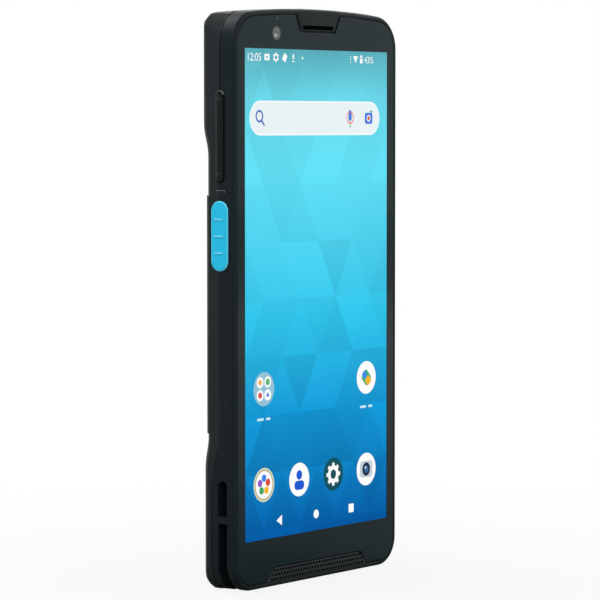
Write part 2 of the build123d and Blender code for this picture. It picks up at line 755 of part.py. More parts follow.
def engine_rails():
    """Two ribs that carry the scan engine clear of the earpiece receiver."""
    low = BODY_HEIGHT - ENGINE_DROP - ENGINE_HEIGHT
    half = ENGINE_WIDTH / 2
    reach = ENGINE_RAIL / 2
    return [
        on_side(
            front_prism(patch(half - reach, half + reach, low, CAVITY_TOP), PLATE_FACE, engine_face()),
            side,
        )
        for side in (-1, 1)
    ]


def engine_face():
    return PLATE_BACK + ENGINE_STANDOFF


def front_housing():
    """Moulded front half: rim, glass seat, mid plate, rails, strap corners and bosses."""
    half_gap = SEAM_CLEARANCE / 2
    shell = envelope() & across(seam_section(-half_gap))
    shell -= front_prism(glass_opening(), -BEYOND, LEDGE_DEPTH)
    shell -= front_bevel(glass_opening(RIM_INNER_CHAMFER), RIM_INNER_CHAMFER)
    shell -= front_prism(panel_outline(PANEL_CLEARANCE), 0, PLATE_FACE)
    grille_seat = GRILLE_THICKNESS + GRILLE_MESH_THICKNESS
    shell -= front_prism(grille_outline(), -BEYOND, grille_seat)
    shell -= front_prism(duct_outline(), 0, PLATE_BACK + SPEAKER_THICKNESS)
    room = front_prism(foot_cavity_outline(), PLATE_BACK, HEAD_DEPTH)
    shell -= room
    shell += [front_prism(peg(s.x, s.z, BOSS_RADIUS), PLATE_FACE, s.seam - half_gap) for s in SCREWS]
    shell += standoffs()
    shell += engine_rails()
    shell -= [insert_hole(s) for s in SCREWS]
    shell -= front_prism(earpiece_outline(), -BEYOND, PLATE_BACK)
    shell -= front_prism(receiver_outline(MODULE_GAP), RECEIVER_SEAT, HEAD_DEPTH)
    shell -= front_prism(front_camera_outline(MODULE_GAP), FRONT_CAMERA_SEAT, HEAD_DEPTH)
    shell -= front_prism(front_barrel_outline(MODULE_GAP), 0, HEAD_DEPTH)
    shell -= front_prism(indicator_outline(MODULE_GAP), 0, PLATE_BACK)
    shell -= [strap_channel(-1), strap_channel(1)]
    shell -= port_opening()
    shell -= plan_prism(peg(MIC_X, mic_centre(), MIC_HOLE_RADIUS), -BEYOND, FOOT_RAIL + 1)
    shell -= key_cuts()
    shell -= seam_line()
    return shell - gasket_ring()


def indicator_outline(grow=0.0):
    return peg(INDICATOR_X, BODY_HEIGHT - INDICATOR_DROP, INDICATOR_RADIUS + grow)


def insert_hole(screw):
    top = screw.seam
    return front_prism(peg(screw.x, screw.z, INSERT_RADIUS), top - INSERT_LENGTH - INSERT_SINK, top + 1)


# ---------------------------------------------------------------- rear half


def scan_window_outline(grow=0.0):
    """Plan view of the window in the top end."""
    near = SEAM_DEPTH + SCAN_WINDOW_SETBACK
    width = SCAN_WINDOW_WIDTH + 2 * grow
    depth = SCAN_WINDOW_DEPTH + 2 * grow
    pane = Pos(0, near + SCAN_WINDOW_DEPTH / 2) * Rectangle(width, depth)
    return chamfer(pane.vertices(), SCAN_WINDOW_CORNER)


def rear_window_outline(grow=0.0):
    """Back view of the pill-shaped window over camera and flash."""
    top = BODY_HEIGHT - REAR_CAMERA_DROP + REAR_WINDOW_WIDTH / 2
    width = REAR_WINDOW_WIDTH + 2 * grow
    length = REAR_WINDOW_LENGTH + 2 * grow
    return Pos(REAR_CAMERA_X, top - REAR_WINDOW_LENGTH / 2) * SlotOverall(length, width, rotation=90)


def well_outline(grow=0.0):
    half = WELL_HALF_WIDTH + grow
    return patch(-half, half, WELL_BOTTOM - grow, WELL_TOP + grow)


def pry_notch():
    """A thumbnail scoop under the lower edge of the battery cover."""
    centre_depth = WAIST_DEPTH + PRY_NOTCH_RADIUS - PRY_NOTCH_BITE
    scoop = disc(centre_depth, COVER_BOTTOM - PRY_NOTCH_BITE, PRY_NOTCH_RADIUS)
    return side_prism(scoop, -PRY_NOTCH_WIDTH / 2, PRY_NOTCH_WIDTH / 2)


def rear_housing():
    """Moulded rear half with the battery well sunk into it."""
    half_gap = SEAM_CLEARANCE / 2
    block = envelope()
    side_flat = front_prism(body_outline(), SEAM_DEPTH, COVER_SEAM_DEPTH)
    block += side_flat & across(patch(0, HEAD_DEPTH, COVER_BOTTOM, COVER_TOP))
    shell = block - across(seam_section(half_gap))
    room = front_prism(foot_cavity_outline(), 0, HEAD_DEPTH) & across(back_section(BACK_WALL))
    shell -= room
    shell += [
        front_prism(peg(s.x, s.z, BOSS_RADIUS), s.seam + half_gap, s.back - BACK_WALL / 2)
        for s in SCREWS
    ]
    low = WELL_BOTTOM - WELL_LIP
    high = WELL_TOP + WELL_LIP
    tub_half = CAVITY_HALF_WIDTH - TUB_CLEARANCE
    tub = patch(-tub_half, tub_half, low, high)
    rails_half = CAVITY_HALF_WIDTH + BACK_WALL
    rails = patch(-rails_half, rails_half, low, high)
    shell += front_prism(tub, WELL_FACE, COVER_SEAM_DEPTH)
    shell += front_prism(rails, SEAM_DEPTH + half_gap, COVER_SEAM_DEPTH)
    deck = patch(
        -CAVITY_HALF_WIDTH, CAVITY_HALF_WIDTH, COVER_BOTTOM - BACK_WALL, COVER_TOP + BACK_WALL
    )
    shell += front_prism(deck, COVER_SEAM_DEPTH - BACK_WALL, HEAD_DEPTH) & envelope()
    shell -= across(cover_zone())
    lip = well_outline(WELL_LIP)
    shell += front_prism(lip, COVER_SEAM_DEPTH - BACK_WALL / 2, COVER_SEAM_DEPTH + WELL_LIP_HEIGHT)
    shell -= front_prism(well_outline(), WELL_FLOOR_BACK, HEAD_DEPTH + 1)
    shell -= pry_notch()
    for screw in SCREWS:
        seat = screw.back - SCREW_HEAD_HEIGHT - SCREW_HEAD_SINK
        spot = peg(screw.x, screw.z, SCREW_HEAD_RADIUS + SCREW_CLEARANCE)
        shank = peg(screw.x, screw.z, SCREW_RADIUS + SCREW_CLEARANCE)
        shell -= front_prism(spot, seat, screw.back + 1)
        shell -= front_prism(shank, screw.seam - 1, screw.back)
    pane = scan_window_outline(SCAN_WINDOW_GAP)
    light_way = scan_window_outline(-SCAN_WINDOW_LEDGE)
    shell -= plan_prism(pane, SCAN_WINDOW_FLOOR, BODY_HEIGHT + 1)
    shell -= plan_prism(light_way, CAVITY_TOP - 1, BODY_HEIGHT)
    shell -= front_prism(rear_window_outline(REAR_WINDOW_GAP), REAR_WINDOW_FLOOR, HEAD_DEPTH + 1)
    camera_z = BODY_HEIGHT - REAR_CAMERA_DROP
    barrel = disc(REAR_CAMERA_X, camera_z, REAR_CAMERA_BARREL_RADIUS + REAR_MODULE_CLEARANCE)
    lamp = peg(REAR_CAMERA_X, camera_z - FLASH_DROP, FLASH_RADIUS + REAR_MODULE_CLEARANCE)
    shell -= front_prism(barrel + lamp, BOARD_BACK, HEAD_DEPTH)
    shell -= key_cuts()
    shell -= seam_line()
    return shell - gasket_ring()


# ---------------------------------------------------------------- glass and display


def front_glass():
    return front_prism(glass_outline(GLASS_GAP), 0, GLASS_THICKNESS)


def glass_adhesive():
    """Thin frame of adhesive between the glass and its seat."""
    outer = glass_outline(GLASS_GAP + ADHESIVE_SETBACK)
    inner = glass_outline(GLASS_GAP + ADHESIVE_SETBACK + ADHESIVE_WIDTH)
    frame = outer - inner - indicator_outline(2 * MODULE_GAP)
    return front_prism(frame, GLASS_THICKNESS, LEDGE_DEPTH)


def display_panel():
    return front_prism(panel_outline(), PANEL_FACE, PANEL_FACE + PANEL_THICKNESS)


def front_camera():
    """Square module with a round barrel and a small sunk lens."""
    back = FRONT_CAMERA_SEAT + FRONT_CAMERA_LENGTH
    body = front_prism(front_camera_outline(), FRONT_CAMERA_SEAT, back)
    barrel = front_prism(front_barrel_outline(), PANEL_FACE, FRONT_CAMERA_SEAT)
    lens = disc(FRONT_CAMERA_X, BODY_HEIGHT - FRONT_CAMERA_DROP, FRONT_LENS_RADIUS)
    return body + barrel - front_prism(lens, 0, PANEL_FACE + LENS_SINK)


def indicator_light():
    """Light pipe behind a clear dot in the glass print."""
    return front_prism(indicator_outline(), PANEL_FACE, PLATE_BACK)


def earpiece_mesh():
    return front_prism(earpiece_outline(), EARPIECE_MESH_DEPTH, EARPIECE_MESH_DEPTH + 0.2)


def earpiece_receiver():
    return front_prism(receiver_outline(), RECEIVER_SEAT, RECEIVER_SEAT + RECEIVER_THICKNESS)


def speaker_grille():
    """Grille insert: staggered rows of small holes, each row one hole longer than the one above."""
    insert = front_prism(grille_outline(-GLASS_GAP), 0, GRILLE_THICKNESS)
    rim = insert.faces().sort_by(Axis.Y)[0].outer_wire().edges()
    insert = chamfer(rim, RIM_INNER_CHAMFER)
    holes = []
    for row in range(GRILLE_ROWS):
        count = GRILLE_TOP_ROW_HOLES + row
        z = GRILLE_TOP_ROW_HEIGHT - row * GRILLE_ROW_PITCH
        start = -(count - 1) * GRILLE_PITCH / 2
        holes += [
            Pos(start + i * GRILLE_PITCH, z) * RegularPolygon(GRILLE_HOLE_RADIUS, GRILLE_HOLE_SIDES)
            for i in range(count)
        ]
    return insert - front_prism(Sketch() + holes, -BEYOND, GRILLE_THICKNESS + BEYOND)


def speaker_mesh():
    far = GRILLE_THICKNESS + GRILLE_MESH_THICKNESS
    return front_prism(grille_outline(-2 * GLASS_GAP), GRILLE_THICKNESS, far)


# ---------------------------------------------------------------- side keys


def side_key(key):
    """A key cap with its retaining flange inside the wall and a nub over each switch."""
    cap = side_prism(key_outline(key), KEY_INSIDE, HALF_WIDTH + key.proud)
    crown = cap.faces().sort_by(Axis.X)[-1].outer_wire().edges()
    cap = chamfer(crown, KEY_BEVEL)
    cap += side_prism(flange_outline(key), KEY_INSIDE, KEY_FLANGE_TOP)
    for nub in key.nubs:
        spot = peg(KEY_DEPTH, key.height + nub, KEY_NUB_RADIUS)
        cap += side_prism(spot, KEY_INSIDE - KEY_NUB_LENGTH, KEY_INSIDE)
    return cap


def scan_key(key):
    """The scan keys carry three short ridges that a finger can feel."""
    cap = side_key(key)
    for step in (-1, 0, 1):
        spot = Pos(KEY_DEPTH, key.height + step * SCAN_RIDGE_PITCH) * Rectangle(
            SCAN_RIDGE_LENGTH, SCAN_RIDGE_WIDTH
        )
        cap += side_prism(spot, HALF_WIDTH, HALF_WIDTH + key.proud + SCAN_RIDGE_PROUD)
    return on_side(cap, key.side)


def plain_key(key):
    return on_side(side_key(key), key.side)


def switch_strip(side):
    """Flexible strip with a dome switch under each nub."""
    low, high = strip_reach(side)
    half = STRIP_WIDTH / 2
    top = STRIP_INSIDE + STRIP_THICKNESS
    strip = side_prism(patch(KEY_DEPTH - half, KEY_DEPTH + half, low, high), STRIP_INSIDE, top)
    for key in KEYS.values():
        if key.side == side:
            for nub in key.nubs:
                spot = Pos(KEY_DEPTH, key.height + nub) * Rectangle(DOME_WIDTH, DOME_LENGTH)
                strip += side_prism(spot, top, top + DOME_THICKNESS)
    return on_side(strip, side)


# ---------------------------------------------------------------- battery pack


def battery_cover():
    """Full-width cover with softened long edges and a recess that fits over the lip of the well."""
    low = COVER_BOTTOM + COVER_GAP
    high = COVER_TOP - COVER_GAP
    seat = COVER_SEAM_DEPTH + COVER_GAP
    blank = front_prism(patch(-HALF_WIDTH, HALF_WIDTH, low, high), seat, COVER_DEPTH)
    back_edges = blank.faces().sort_by(Axis.Y)[-1].edges()
    long_edges = back_edges.filter_by(Axis.Z)
    blank = softened(blank, long_edges, COVER_SIDE_BEVEL, COVER_SIDE_EASE)
    ends = blank.faces().sort_by(Axis.Y)[-1].edges().filter_by(Axis.X)
    blank = chamfer(ends, COVER_END_BEVEL)
    recess = well_outline(WELL_LIP + WELL_LIP_CLEARANCE)
    return blank - front_prism(recess, 0, COVER_INSIDE)


def pack_bounds():
    """Left, right, bottom and top of the pack in its well."""
    half = WELL_HALF_WIDTH - PACK_CLEARANCE
    low = WELL_BOTTOM + CONNECTOR_LENGTH + CONTACT_LENGTH + CONTACT_GAP
    return -half, half, low, WELL_TOP - PACK_CLEARANCE


def battery_cell():
    """The wrapped cell block that fills the well."""
    near = WELL_FLOOR_BACK + PACK_CLEARANCE
    block = front_prism(patch(*pack_bounds()), near, COVER_INSIDE - ANTENNA_THICKNESS)
    return chamfer(block.edges().filter_by(Axis.Z), PACK_EDGE_BEVEL)


def near_field_antenna():
    """Flat loop between the cell and the cover."""
    middle = (pack_bounds()[2] + pack_bounds()[3]) / 2
    outer = Rectangle(ANTENNA_WIDTH, ANTENNA_HEIGHT)
    inner = Rectangle(ANTENNA_WIDTH - 2 * ANTENNA_TRACK, ANTENNA_HEIGHT - 2 * ANTENNA_TRACK)
    loop = Pos(0, middle) * (outer - inner)
    return front_prism(loop, COVER_INSIDE - ANTENNA_THICKNESS, COVER_INSIDE)


def contact_places():
    start = -(CONTACT_COUNT - 1) / 2
    return [(start + i) * CONTACT_PITCH for i in range(CONTACT_COUNT)]


def battery_pads():
    """Gold pads on the lower end of the pack."""
    near = WELL_FLOOR_BACK + CONTACT_RISE - PAD_OVERLAP
    far = WELL_FLOOR_BACK + CONTACT_RISE + CONTACT_WIDTH + PAD_OVERLAP
    low = pack_bounds()[2]
    half = CONTACT_WIDTH / 2
    outlines = [patch(x - half, x + half, low - PAD_THICKNESS, low) for x in contact_places()]
    return Compound([front_prism(outline, near, far) for outline in outlines])


def battery_connector():
    """Block in the well with a slot for each spring contact."""
    half = CONNECTOR_WIDTH / 2
    return front_prism(
        patch(-half, half, WELL_BOTTOM, WELL_BOTTOM + CONNECTOR_LENGTH),
        WELL_FLOOR_BACK,
        WELL_FLOOR_BACK + CONNECTOR_HEIGHT,
    )


def battery_contacts():
    """Spring contacts that stand out of the connector towards the pads."""
    near = WELL_FLOOR_BACK + CONTACT_RISE
    low = WELL_BOTTOM + CONNECTOR_LENGTH
    high = low + CONTACT_LENGTH - PAD_THICKNESS
    half = CONTACT_WIDTH / 2 - PAD_OVERLAP
    outlines = [patch(x - half, x + half, low, high) for x in contact_places()]
    return Compound([front_prism(outline, near, near + CONTACT_WIDTH) for outline in outlines])


# ---------------------------------------------------------------- screws


def housing_screws():
    """Screws with sunk flat heads, driven from the back."""
    screws = []
    for s in SCREWS:
        seat = s.back - SCREW_HEAD_HEIGHT - SCREW_HEAD_SINK
        top = seat + SCREW_HEAD_HEIGHT
        shank = front_prism(peg(s.x, s.z, SCREW_RADIUS), s.seam - SCREW_BITE, seat)
        screws.append(shank + front_prism(peg(s.x, s.z, SCREW_HEAD_RADIUS), seat, top))
    return Compound(screws)


def screw_inserts():
    """Brass inserts pressed into the bosses of the front housing."""
    inserts = []
    for s in SCREWS:
        ring = peg(s.x, s.z, INSERT_RADIUS) - peg(s.x, s.z, SCREW_RADIUS + INSERT_CLEARANCE)
        far = s.seam - INSERT_SINK
        inserts.append(front_prism(ring, far - INSERT_LENGTH, far))
    return Compound(inserts)


# ---------------------------------------------------------------- boards and modules


def main_board():
    """Board in the head, notched round the bosses and the scan engine."""
    half = CAVITY_HALF_WIDTH - BOARD_CLEARANCE
    low = WELL_TOP + WELL_LIP + BOARD_CLEARANCE
    high = CAVITY_TOP - BOARD_CLEARANCE
    board = patch(-half, half, low, high)
    board -= [peg(s.x, s.z, BOSS_RADIUS + BOARD_CLEARANCE) for s in SCREWS]
    engine_half = (ENGINE_WIDTH + ENGINE_RAIL) / 2 + BOARD_CLEARANCE
    engine_low = BODY_HEIGHT - ENGINE_DROP - ENGINE_HEIGHT - BOARD_CLEARANCE
    board -= patch(-engine_half, engine_half, engine_low, BODY_HEIGHT)
    corners = [peg(side * half, high, 2 * CAVITY_CORNER) for side in (-1, 1)]
    return front_prism(board - corners, BOARD_FACE, BOARD_BACK)


def shield_can(x, z, size, near, far):
    """A pressed can, open towards the board."""
    width, height = size
    outer = front_prism(Pos(x, z) * Rectangle(width, height), min(near, far), max(near, far))
    step = SHIELD_WALL if far > near else -SHIELD_WALL
    low, high = sorted((near, far - step))
    inner = Pos(x, z) * Rectangle(width - 2 * SHIELD_WALL, height - 2 * SHIELD_WALL)
    return outer - front_prism(inner, low, high)


def shield_cans():
    """Cans over the processor and the radio on the front, and the power parts on the back."""
    middle = WAIST_TOP + RAMP_LENGTH - CAN_GAP
    beside = -(PROCESSOR_CAN[0] + RADIO_CAN[0]) / 2 - CAN_GAP
    front_top = BOARD_FACE - SHIELD_HEIGHT
    return Compound(
        [
            shield_can(0, middle, PROCESSOR_CAN, BOARD_FACE, front_top),
            shield_can(beside, middle + PROCESSOR_CAN[1] / 2, RADIO_CAN, BOARD_FACE, front_top),
            shield_can(0, middle, POWER_CAN, BOARD_BACK, BOARD_BACK + SHIELD_HEIGHT),
        ]
    )


def scan_engine():
    """Imager block with its aiming and imaging lenses facing the window in the top end."""
    low = BODY_HEIGHT - ENGINE_DROP - ENGINE_HEIGHT
    high = CAVITY_TOP - BOARD_CLEARANCE / 2
    near = engine_face()
    half = ENGINE_WIDTH / 2
    block = front_prism(patch(-half, half, low, high), near, near + ENGINE_DEPTH)
    middle = near + ENGINE_DEPTH / 2
    for side in (-1, 1):
        lens = peg(side * half / 2, middle, ENGINE_LENS_RADIUS)
        block -= plan_prism(lens, high - ENGINE_LENS_SINK, high + 1)
    return block


def scan_window():
    """Flat dark pane in the top end, on the ledge round its light way."""
    low = SCAN_WINDOW_FLOOR
    return plan_prism(scan_window_outline(), low, low + SCAN_WINDOW_THICKNESS)


def rear_camera():
    """Camera module on the main board, its barrel reaching up under the window."""
    z = BODY_HEIGHT - REAR_CAMERA_DROP
    top = HEAD_DEPTH - BACK_WALL
    size = REAR_CAMERA_BODY
    body = front_prism(Pos(REAR_CAMERA_X, z) * Rectangle(size, size), BOARD_BACK, top)
    barrel_top = REAR_WINDOW_FLOOR - REAR_WINDOW_GAP
    body += front_prism(disc(REAR_CAMERA_X, z, REAR_CAMERA_BARREL_RADIUS), top, barrel_top)
    lens = disc(REAR_CAMERA_X, z, REAR_LENS_RADIUS)
    return body - front_prism(lens, barrel_top - LENS_SINK, barrel_top + 1)


def rear_camera_window():
    back = REAR_WINDOW_FLOOR + REAR_WINDOW_THICKNESS
    return front_prism(rear_window_outline(), REAR_WINDOW_FLOOR, back)


def flash_lamp():
    z = BODY_HEIGHT - REAR_CAMERA_DROP - FLASH_DROP
    top = REAR_WINDOW_FLOOR - REAR_WINDOW_GAP
    return front_prism(disc(REAR_CAMERA_X, z, FLASH_RADIUS), BOARD_BACK, top)


def foot_board():
    """Small board for the charging port, with a tongue that reaches the foot wall."""
    near = PLATE_BACK + FOOT_BOARD_STANDOFF
    half = FOOT_BOARD_WIDTH / 2
    tongue = FOOT_BOARD_TONGUE_WIDTH / 2
    board = patch(-half, half, FOOT_BOARD_NECK, FOOT_BOARD_TOP)
    board += patch(-tongue, tongue, FOOT_BOARD_BOTTOM, FOOT_BOARD_NECK)
    return front_prism(board, near, near + BOARD_THICKNESS)


def usb_port():
    """Receptacle: a flattened steel sleeve round a contact tongue."""
    centre = port_centre()
    outline = Pos(0, centre) * SlotOverall(PORT_WIDTH, PORT_HEIGHT)
    sleeve = 2 * PORT_SHELL
    sleeve_hole = Pos(0, centre) * SlotOverall(PORT_WIDTH - sleeve, PORT_HEIGHT - sleeve)
    top = PORT_SINK + PORT_LENGTH
    body = plan_prism(outline, PORT_SINK, top) - plan_prism(sleeve_hole, 0, top - PORT_BACK)
    blade = Pos(0, centre) * Rectangle(PORT_TONGUE_WIDTH, PORT_TONGUE)
    return body + plan_prism(blade, PORT_SINK + PORT_TONGUE_SINK, top)


def microphone():
    near = PLATE_BACK + FOOT_BOARD_STANDOFF + BOARD_THICKNESS
    half = MIC_SIZE / 2
    return front_prism(
        patch(MIC_X - half, MIC_X + half, FOOT_BOARD_BOTTOM, FOOT_BOARD_BOTTOM + MIC_SIZE),
        near,
        near + MIC_HEIGHT,
    )


def loudspeaker():
    """Speaker box on the plate; its dished cone faces a channel that runs down to the duct."""
    box = Pos(SPEAKER_X, SPEAKER_Z) * Rectangle(SPEAKER_WIDTH, SPEAKER_LENGTH)
    body = front_prism(box, PLATE_BACK, PLATE_BACK + SPEAKER_THICKNESS)
    half = SPEAKER_CONE_RADIUS
    channel = peg(SPEAKER_X, SPEAKER_Z, half)
    channel += patch(SPEAKER_X - half, SPEAKER_X + half, 0, SPEAKER_Z)
    return body - front_prism(channel, 0, PLATE_BACK + SPEAKER_CHANNEL_DEPTH)


def vibration_motor():
    return front_prism(disc(MOTOR_X, MOTOR_Z, MOTOR_RADIUS), PLATE_BACK, PLATE_BACK + MOTOR_THICKNESS)


def board_link():
    """Flat cable from the foot board, under the battery well, up to the main board."""
    t = LINK_THICKNESS
    start = FOOT_BOARD_TOP - LINK_OVERLAP
    board_low = WELL_TOP + WELL_LIP + BOARD_CLEARANCE
    turn = board_low - LINK_THICKNESS
    end = turn + LINK_RISE
    lower = PLATE_BACK
    upper = BOARD_FACE
    path = Polyline(
        (lower, start),
        (lower, turn),
        (upper - t, end - t),
        (upper - t, end + LINK_OVERLAP),
        (upper, end + LINK_OVERLAP),
        (upper, end - t),
        (lower + t, turn - t),
        (lower + t, start),
        close=True,
    )
    half = LINK_WIDTH / 2
    return side_prism(make_face(path), LINK_X - half, LINK_X + half)


# ---------------------------------------------------------------- write every node

NODES = {
    "front_housing": front_housing,
    "rear_housing": rear_housing,
    "front_glass": front_glass,
    "glass_adhesive": glass_adhesive,
    "display_panel": display_panel,
    "front_camera": front_camera,
    "indicator_light": indicator_light,
    "earpiece_mesh": earpiece_mesh,
    "earpiece_receiver": earpiece_receiver,
    "speaker_grille": speaker_grille,
    "speaker_mesh": speaker_mesh,
    "loudspeaker": loudspeaker,
    "volume_rocker": lambda: plain_key(KEYS["volume_rocker"]),
    "power_key": lambda: plain_key(KEYS["power_key"]),
    "scan_key_left": lambda: scan_key(KEYS["scan_key_left"]),
    "scan_key_right": lambda: scan_key(KEYS["scan_key_right"]),
    "left_key_switches": lambda: switch_strip(-1),
    "right_key_switches": lambda: switch_strip(1),
    "housing_gasket": gasket_ring,
    "battery_cover": battery_cover,
    "battery_cell": battery_cell,
    "battery_pads": battery_pads,
    "near_field_antenna": near_field_antenna,
    "battery_connector": battery_connector,
    "battery_contacts": battery_contacts,
    "housing_screws": housing_screws,
    "screw_inserts": screw_inserts,
    "main_board": main_board,
    "shield_cans": shield_cans,
    "scan_engine": scan_engine,
    "scan_window": scan_window,
    "rear_camera": rear_camera,
    "rear_camera_window": rear_camera_window,
    "flash_lamp": flash_lamp,
    "foot_board": foot_board,
    "usb_port": usb_port,
    "microphone": microphone,
    "vibration_motor": vibration_motor,
    "board_link": board_link,
}

os.makedirs("parts", exist_ok=True)
for node, make in NODES.items():
    export_step(make(), f"parts/{node}.step")
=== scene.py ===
import math

import bmesh
import bpy
from mathutils import Matrix, Vector


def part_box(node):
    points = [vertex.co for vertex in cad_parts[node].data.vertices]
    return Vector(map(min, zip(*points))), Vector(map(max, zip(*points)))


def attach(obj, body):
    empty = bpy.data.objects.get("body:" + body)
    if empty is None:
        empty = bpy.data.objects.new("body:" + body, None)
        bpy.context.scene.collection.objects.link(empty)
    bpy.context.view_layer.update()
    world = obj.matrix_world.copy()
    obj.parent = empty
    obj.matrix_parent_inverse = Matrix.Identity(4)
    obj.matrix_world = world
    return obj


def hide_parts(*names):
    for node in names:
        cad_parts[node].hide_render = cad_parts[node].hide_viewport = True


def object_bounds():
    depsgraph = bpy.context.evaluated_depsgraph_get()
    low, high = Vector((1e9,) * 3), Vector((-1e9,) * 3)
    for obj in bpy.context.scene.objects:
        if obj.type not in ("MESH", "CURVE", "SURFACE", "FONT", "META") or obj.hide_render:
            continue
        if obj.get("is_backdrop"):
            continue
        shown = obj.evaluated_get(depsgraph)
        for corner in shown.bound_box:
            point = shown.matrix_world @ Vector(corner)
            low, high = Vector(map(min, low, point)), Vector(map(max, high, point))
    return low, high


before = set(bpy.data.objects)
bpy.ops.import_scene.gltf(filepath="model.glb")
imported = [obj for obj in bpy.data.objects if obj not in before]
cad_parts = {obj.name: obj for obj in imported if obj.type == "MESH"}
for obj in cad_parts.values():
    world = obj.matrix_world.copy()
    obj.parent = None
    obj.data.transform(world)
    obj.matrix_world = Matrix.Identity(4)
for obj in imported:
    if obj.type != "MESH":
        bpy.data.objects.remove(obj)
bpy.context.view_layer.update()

# ---------------------------------------------------------------- front housing
# Front half of the body: rim, side walls, strap bars and the plate behind the display.
# One injection moulding in black glass-filled polycarbonate with a fine spark-eroded
# grain; it screws to the rear half and carries everything else.

MM = 0.001
WELD = 0.001 * MM
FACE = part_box("front_housing")[0].y
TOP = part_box("front_housing")[1].z
SMOOTH_ANGLE = math.radians(34)
FLAT_ANGLE = math.radians(0.5)
BLACK = (0.0, 0.0, 0.0, 1.0)

# The tongue narrows from the rim down to its tip, and the earpiece slot lies in its tip.
TONGUE_ROOT = 22.4
TONGUE_TIP = 16.0
TONGUE_DROP = 6.25
TONGUE_SLOPE = (TONGUE_ROOT - TONGUE_TIP) / 2 / TONGUE_DROP
SHOULDER_WIDTH = 1.0
SHOULDER_HEIGHT = 4.9
SLOT_LIP = 0.4
SLOT_HEIGHT = 1.15
SLOT_HALF = 7.3
SLOT_DEPTH = 1.2

# What lies less than a skin under a face counts as that face, and a painted shade reaches a small
# margin past its edges.
SKIN = 0.03
MARGIN = 0.1


def deep(depth):
    """Y of a place that lies so many millimetres behind the face."""
    return FACE + depth * MM


def srgb(red, green, blue):
    """Linear colour from the 0 to 255 values of a colour chart."""
    return tuple(
        (c / 255 / 12.92) if c <= 10 else ((c / 255 + 0.055) / 1.055) ** 2.4
        for c in (red, green, blue)
    ) + (1.0,)


def dimmed(colour, share):
    """The same colour with only a share of its light."""
    return tuple(c * share for c in colour[:3]) + (1.0,)


class Signal:
    """A value that varies over a surface. Arithmetic on it adds Math nodes."""

    def __init__(self, nodes, socket):
        self.nodes = nodes
        self.socket = socket

    def math(self, operation, *values):
        return self.nodes.node("ShaderNodeMath", {"operation": operation}, *values)

    def __add__(self, other):
        return self.math("ADD", self, other)

    def __sub__(self, other):
        return self.math("SUBTRACT", self, other)

    def __mul__(self, other):
        return self.math("MULTIPLY", self, other)

    def __truediv__(self, other):
        return self.math("DIVIDE", self, other)

    def __radd__(self, other):
        return self.math("ADD", other, self)

    def __rsub__(self, other):
        return self.math("SUBTRACT", other, self)

    def __rmul__(self, other):
        return self.math("MULTIPLY", other, self)

    def __pow__(self, other):
        return self.math("POWER", self, other)

    def __gt__(self, other):
        return self.math("GREATER_THAN", self, other)

    def __lt__(self, other):
        return self.math("LESS_THAN", self, other)

    def __abs__(self):
        return self.math("ABSOLUTE", self)

    def floor(self):
        return self.math("FLOOR", self)

    def sine(self):
        return self.math("SINE", self)

    def either(self, other):
        return self.math("MAXIMUM", self, other)


class Nodes:
    """The node tree of a material or a world."""

    def __init__(self, owner):
        owner.use_nodes = True
        self.tree = owner.node_tree

    def node(self, kind, settings, *values, output=0, **named):
        """Adds a node: its settings first, then the values or links of its sockets."""
        made = self.tree.nodes.new(kind)
        for setting, value in settings.items():
            if setting == "stops":
                self.set_stops(made.color_ramp, value)
            else:
                setattr(made, setting, value)
        for number, value in enumerate(values):
            self.put(value, made.inputs[number])
        for name, value in named.items():
            self.put(value, made.inputs[name.replace("_", " ")])
        return Signal(self, made.outputs[output])

    def set_stops(self, ramp, stops):
        """Gives a colour ramp its places and colours."""
        while len(ramp.elements) < len(stops):
            ramp.elements.new(0.5)
        for element, (place, colour) in zip(ramp.elements, stops):
            element.position = place
            element.color = colour

    def put(self, value, socket):
        """Links a signal to a socket, or sets the socket to a plain value."""
        if isinstance(value, Signal):
            self.tree.links.new(value.socket, socket)
        else:
            socket.default_value = value

    def end(self, shader, output):
        """Lets the tree's output show a shader."""
        self.tree.links.new(shader.socket, self.tree.nodes[output].inputs["Surface"])


class Finish(Nodes):
    """One material: a Principled shader, its fixed sockets and the nodes that feed the rest."""

    def __init__(self, name, **fixed):
        self.material = bpy.data.materials.new(name)
        super().__init__(self.material)
        self.shader = self.tree.nodes["Principled BSDF"]
        for socket, value in fixed.items():
            self.shader.inputs[socket.replace("_", " ")].default_value = value

    def feed(self, socket, signal):
        """Links a signal to a socket of the shader."""
        self.tree.links.new(signal.socket, self.shader.inputs[socket])

    def place(self):
        return self.node("ShaderNodeTexCoord", {}, output="Object")

    def axes(self):
        """X, Y and Z of the surface, in metres."""
        split = self.node("ShaderNodeSeparateXYZ", {}, self.place()).socket.node
        return [Signal(self, socket) for socket in split.outputs]

    def noise(self, size, detail=2.0):
        """Smooth noise whose lumps are so many millimetres across."""
        scale = 1 / (size * MM)
        return self.node("ShaderNodeTexNoise", {}, self.place(), Scale=scale, Detail=detail)

    def mix(self, amount, first, second, blend="MIX"):
        """Colour mix. Sockets 6 and 7 of a Mix node take the colours, and output 2 gives one."""
        settings = {"data_type": "RGBA", "blend_type": blend}
        mixed = self.node("ShaderNodeMix", settings, amount, output=2)
        sockets = mixed.socket.node.inputs
        self.put(first, sockets[6])
        self.put(second, sockets[7])
        return mixed

    def bump(self, height, depth):
        """Relief so many millimetres deep."""
        relief = self.node("ShaderNodeBump", {}, Strength=1.0, Distance=depth * MM, Height=height)
        self.feed("Normal", relief)


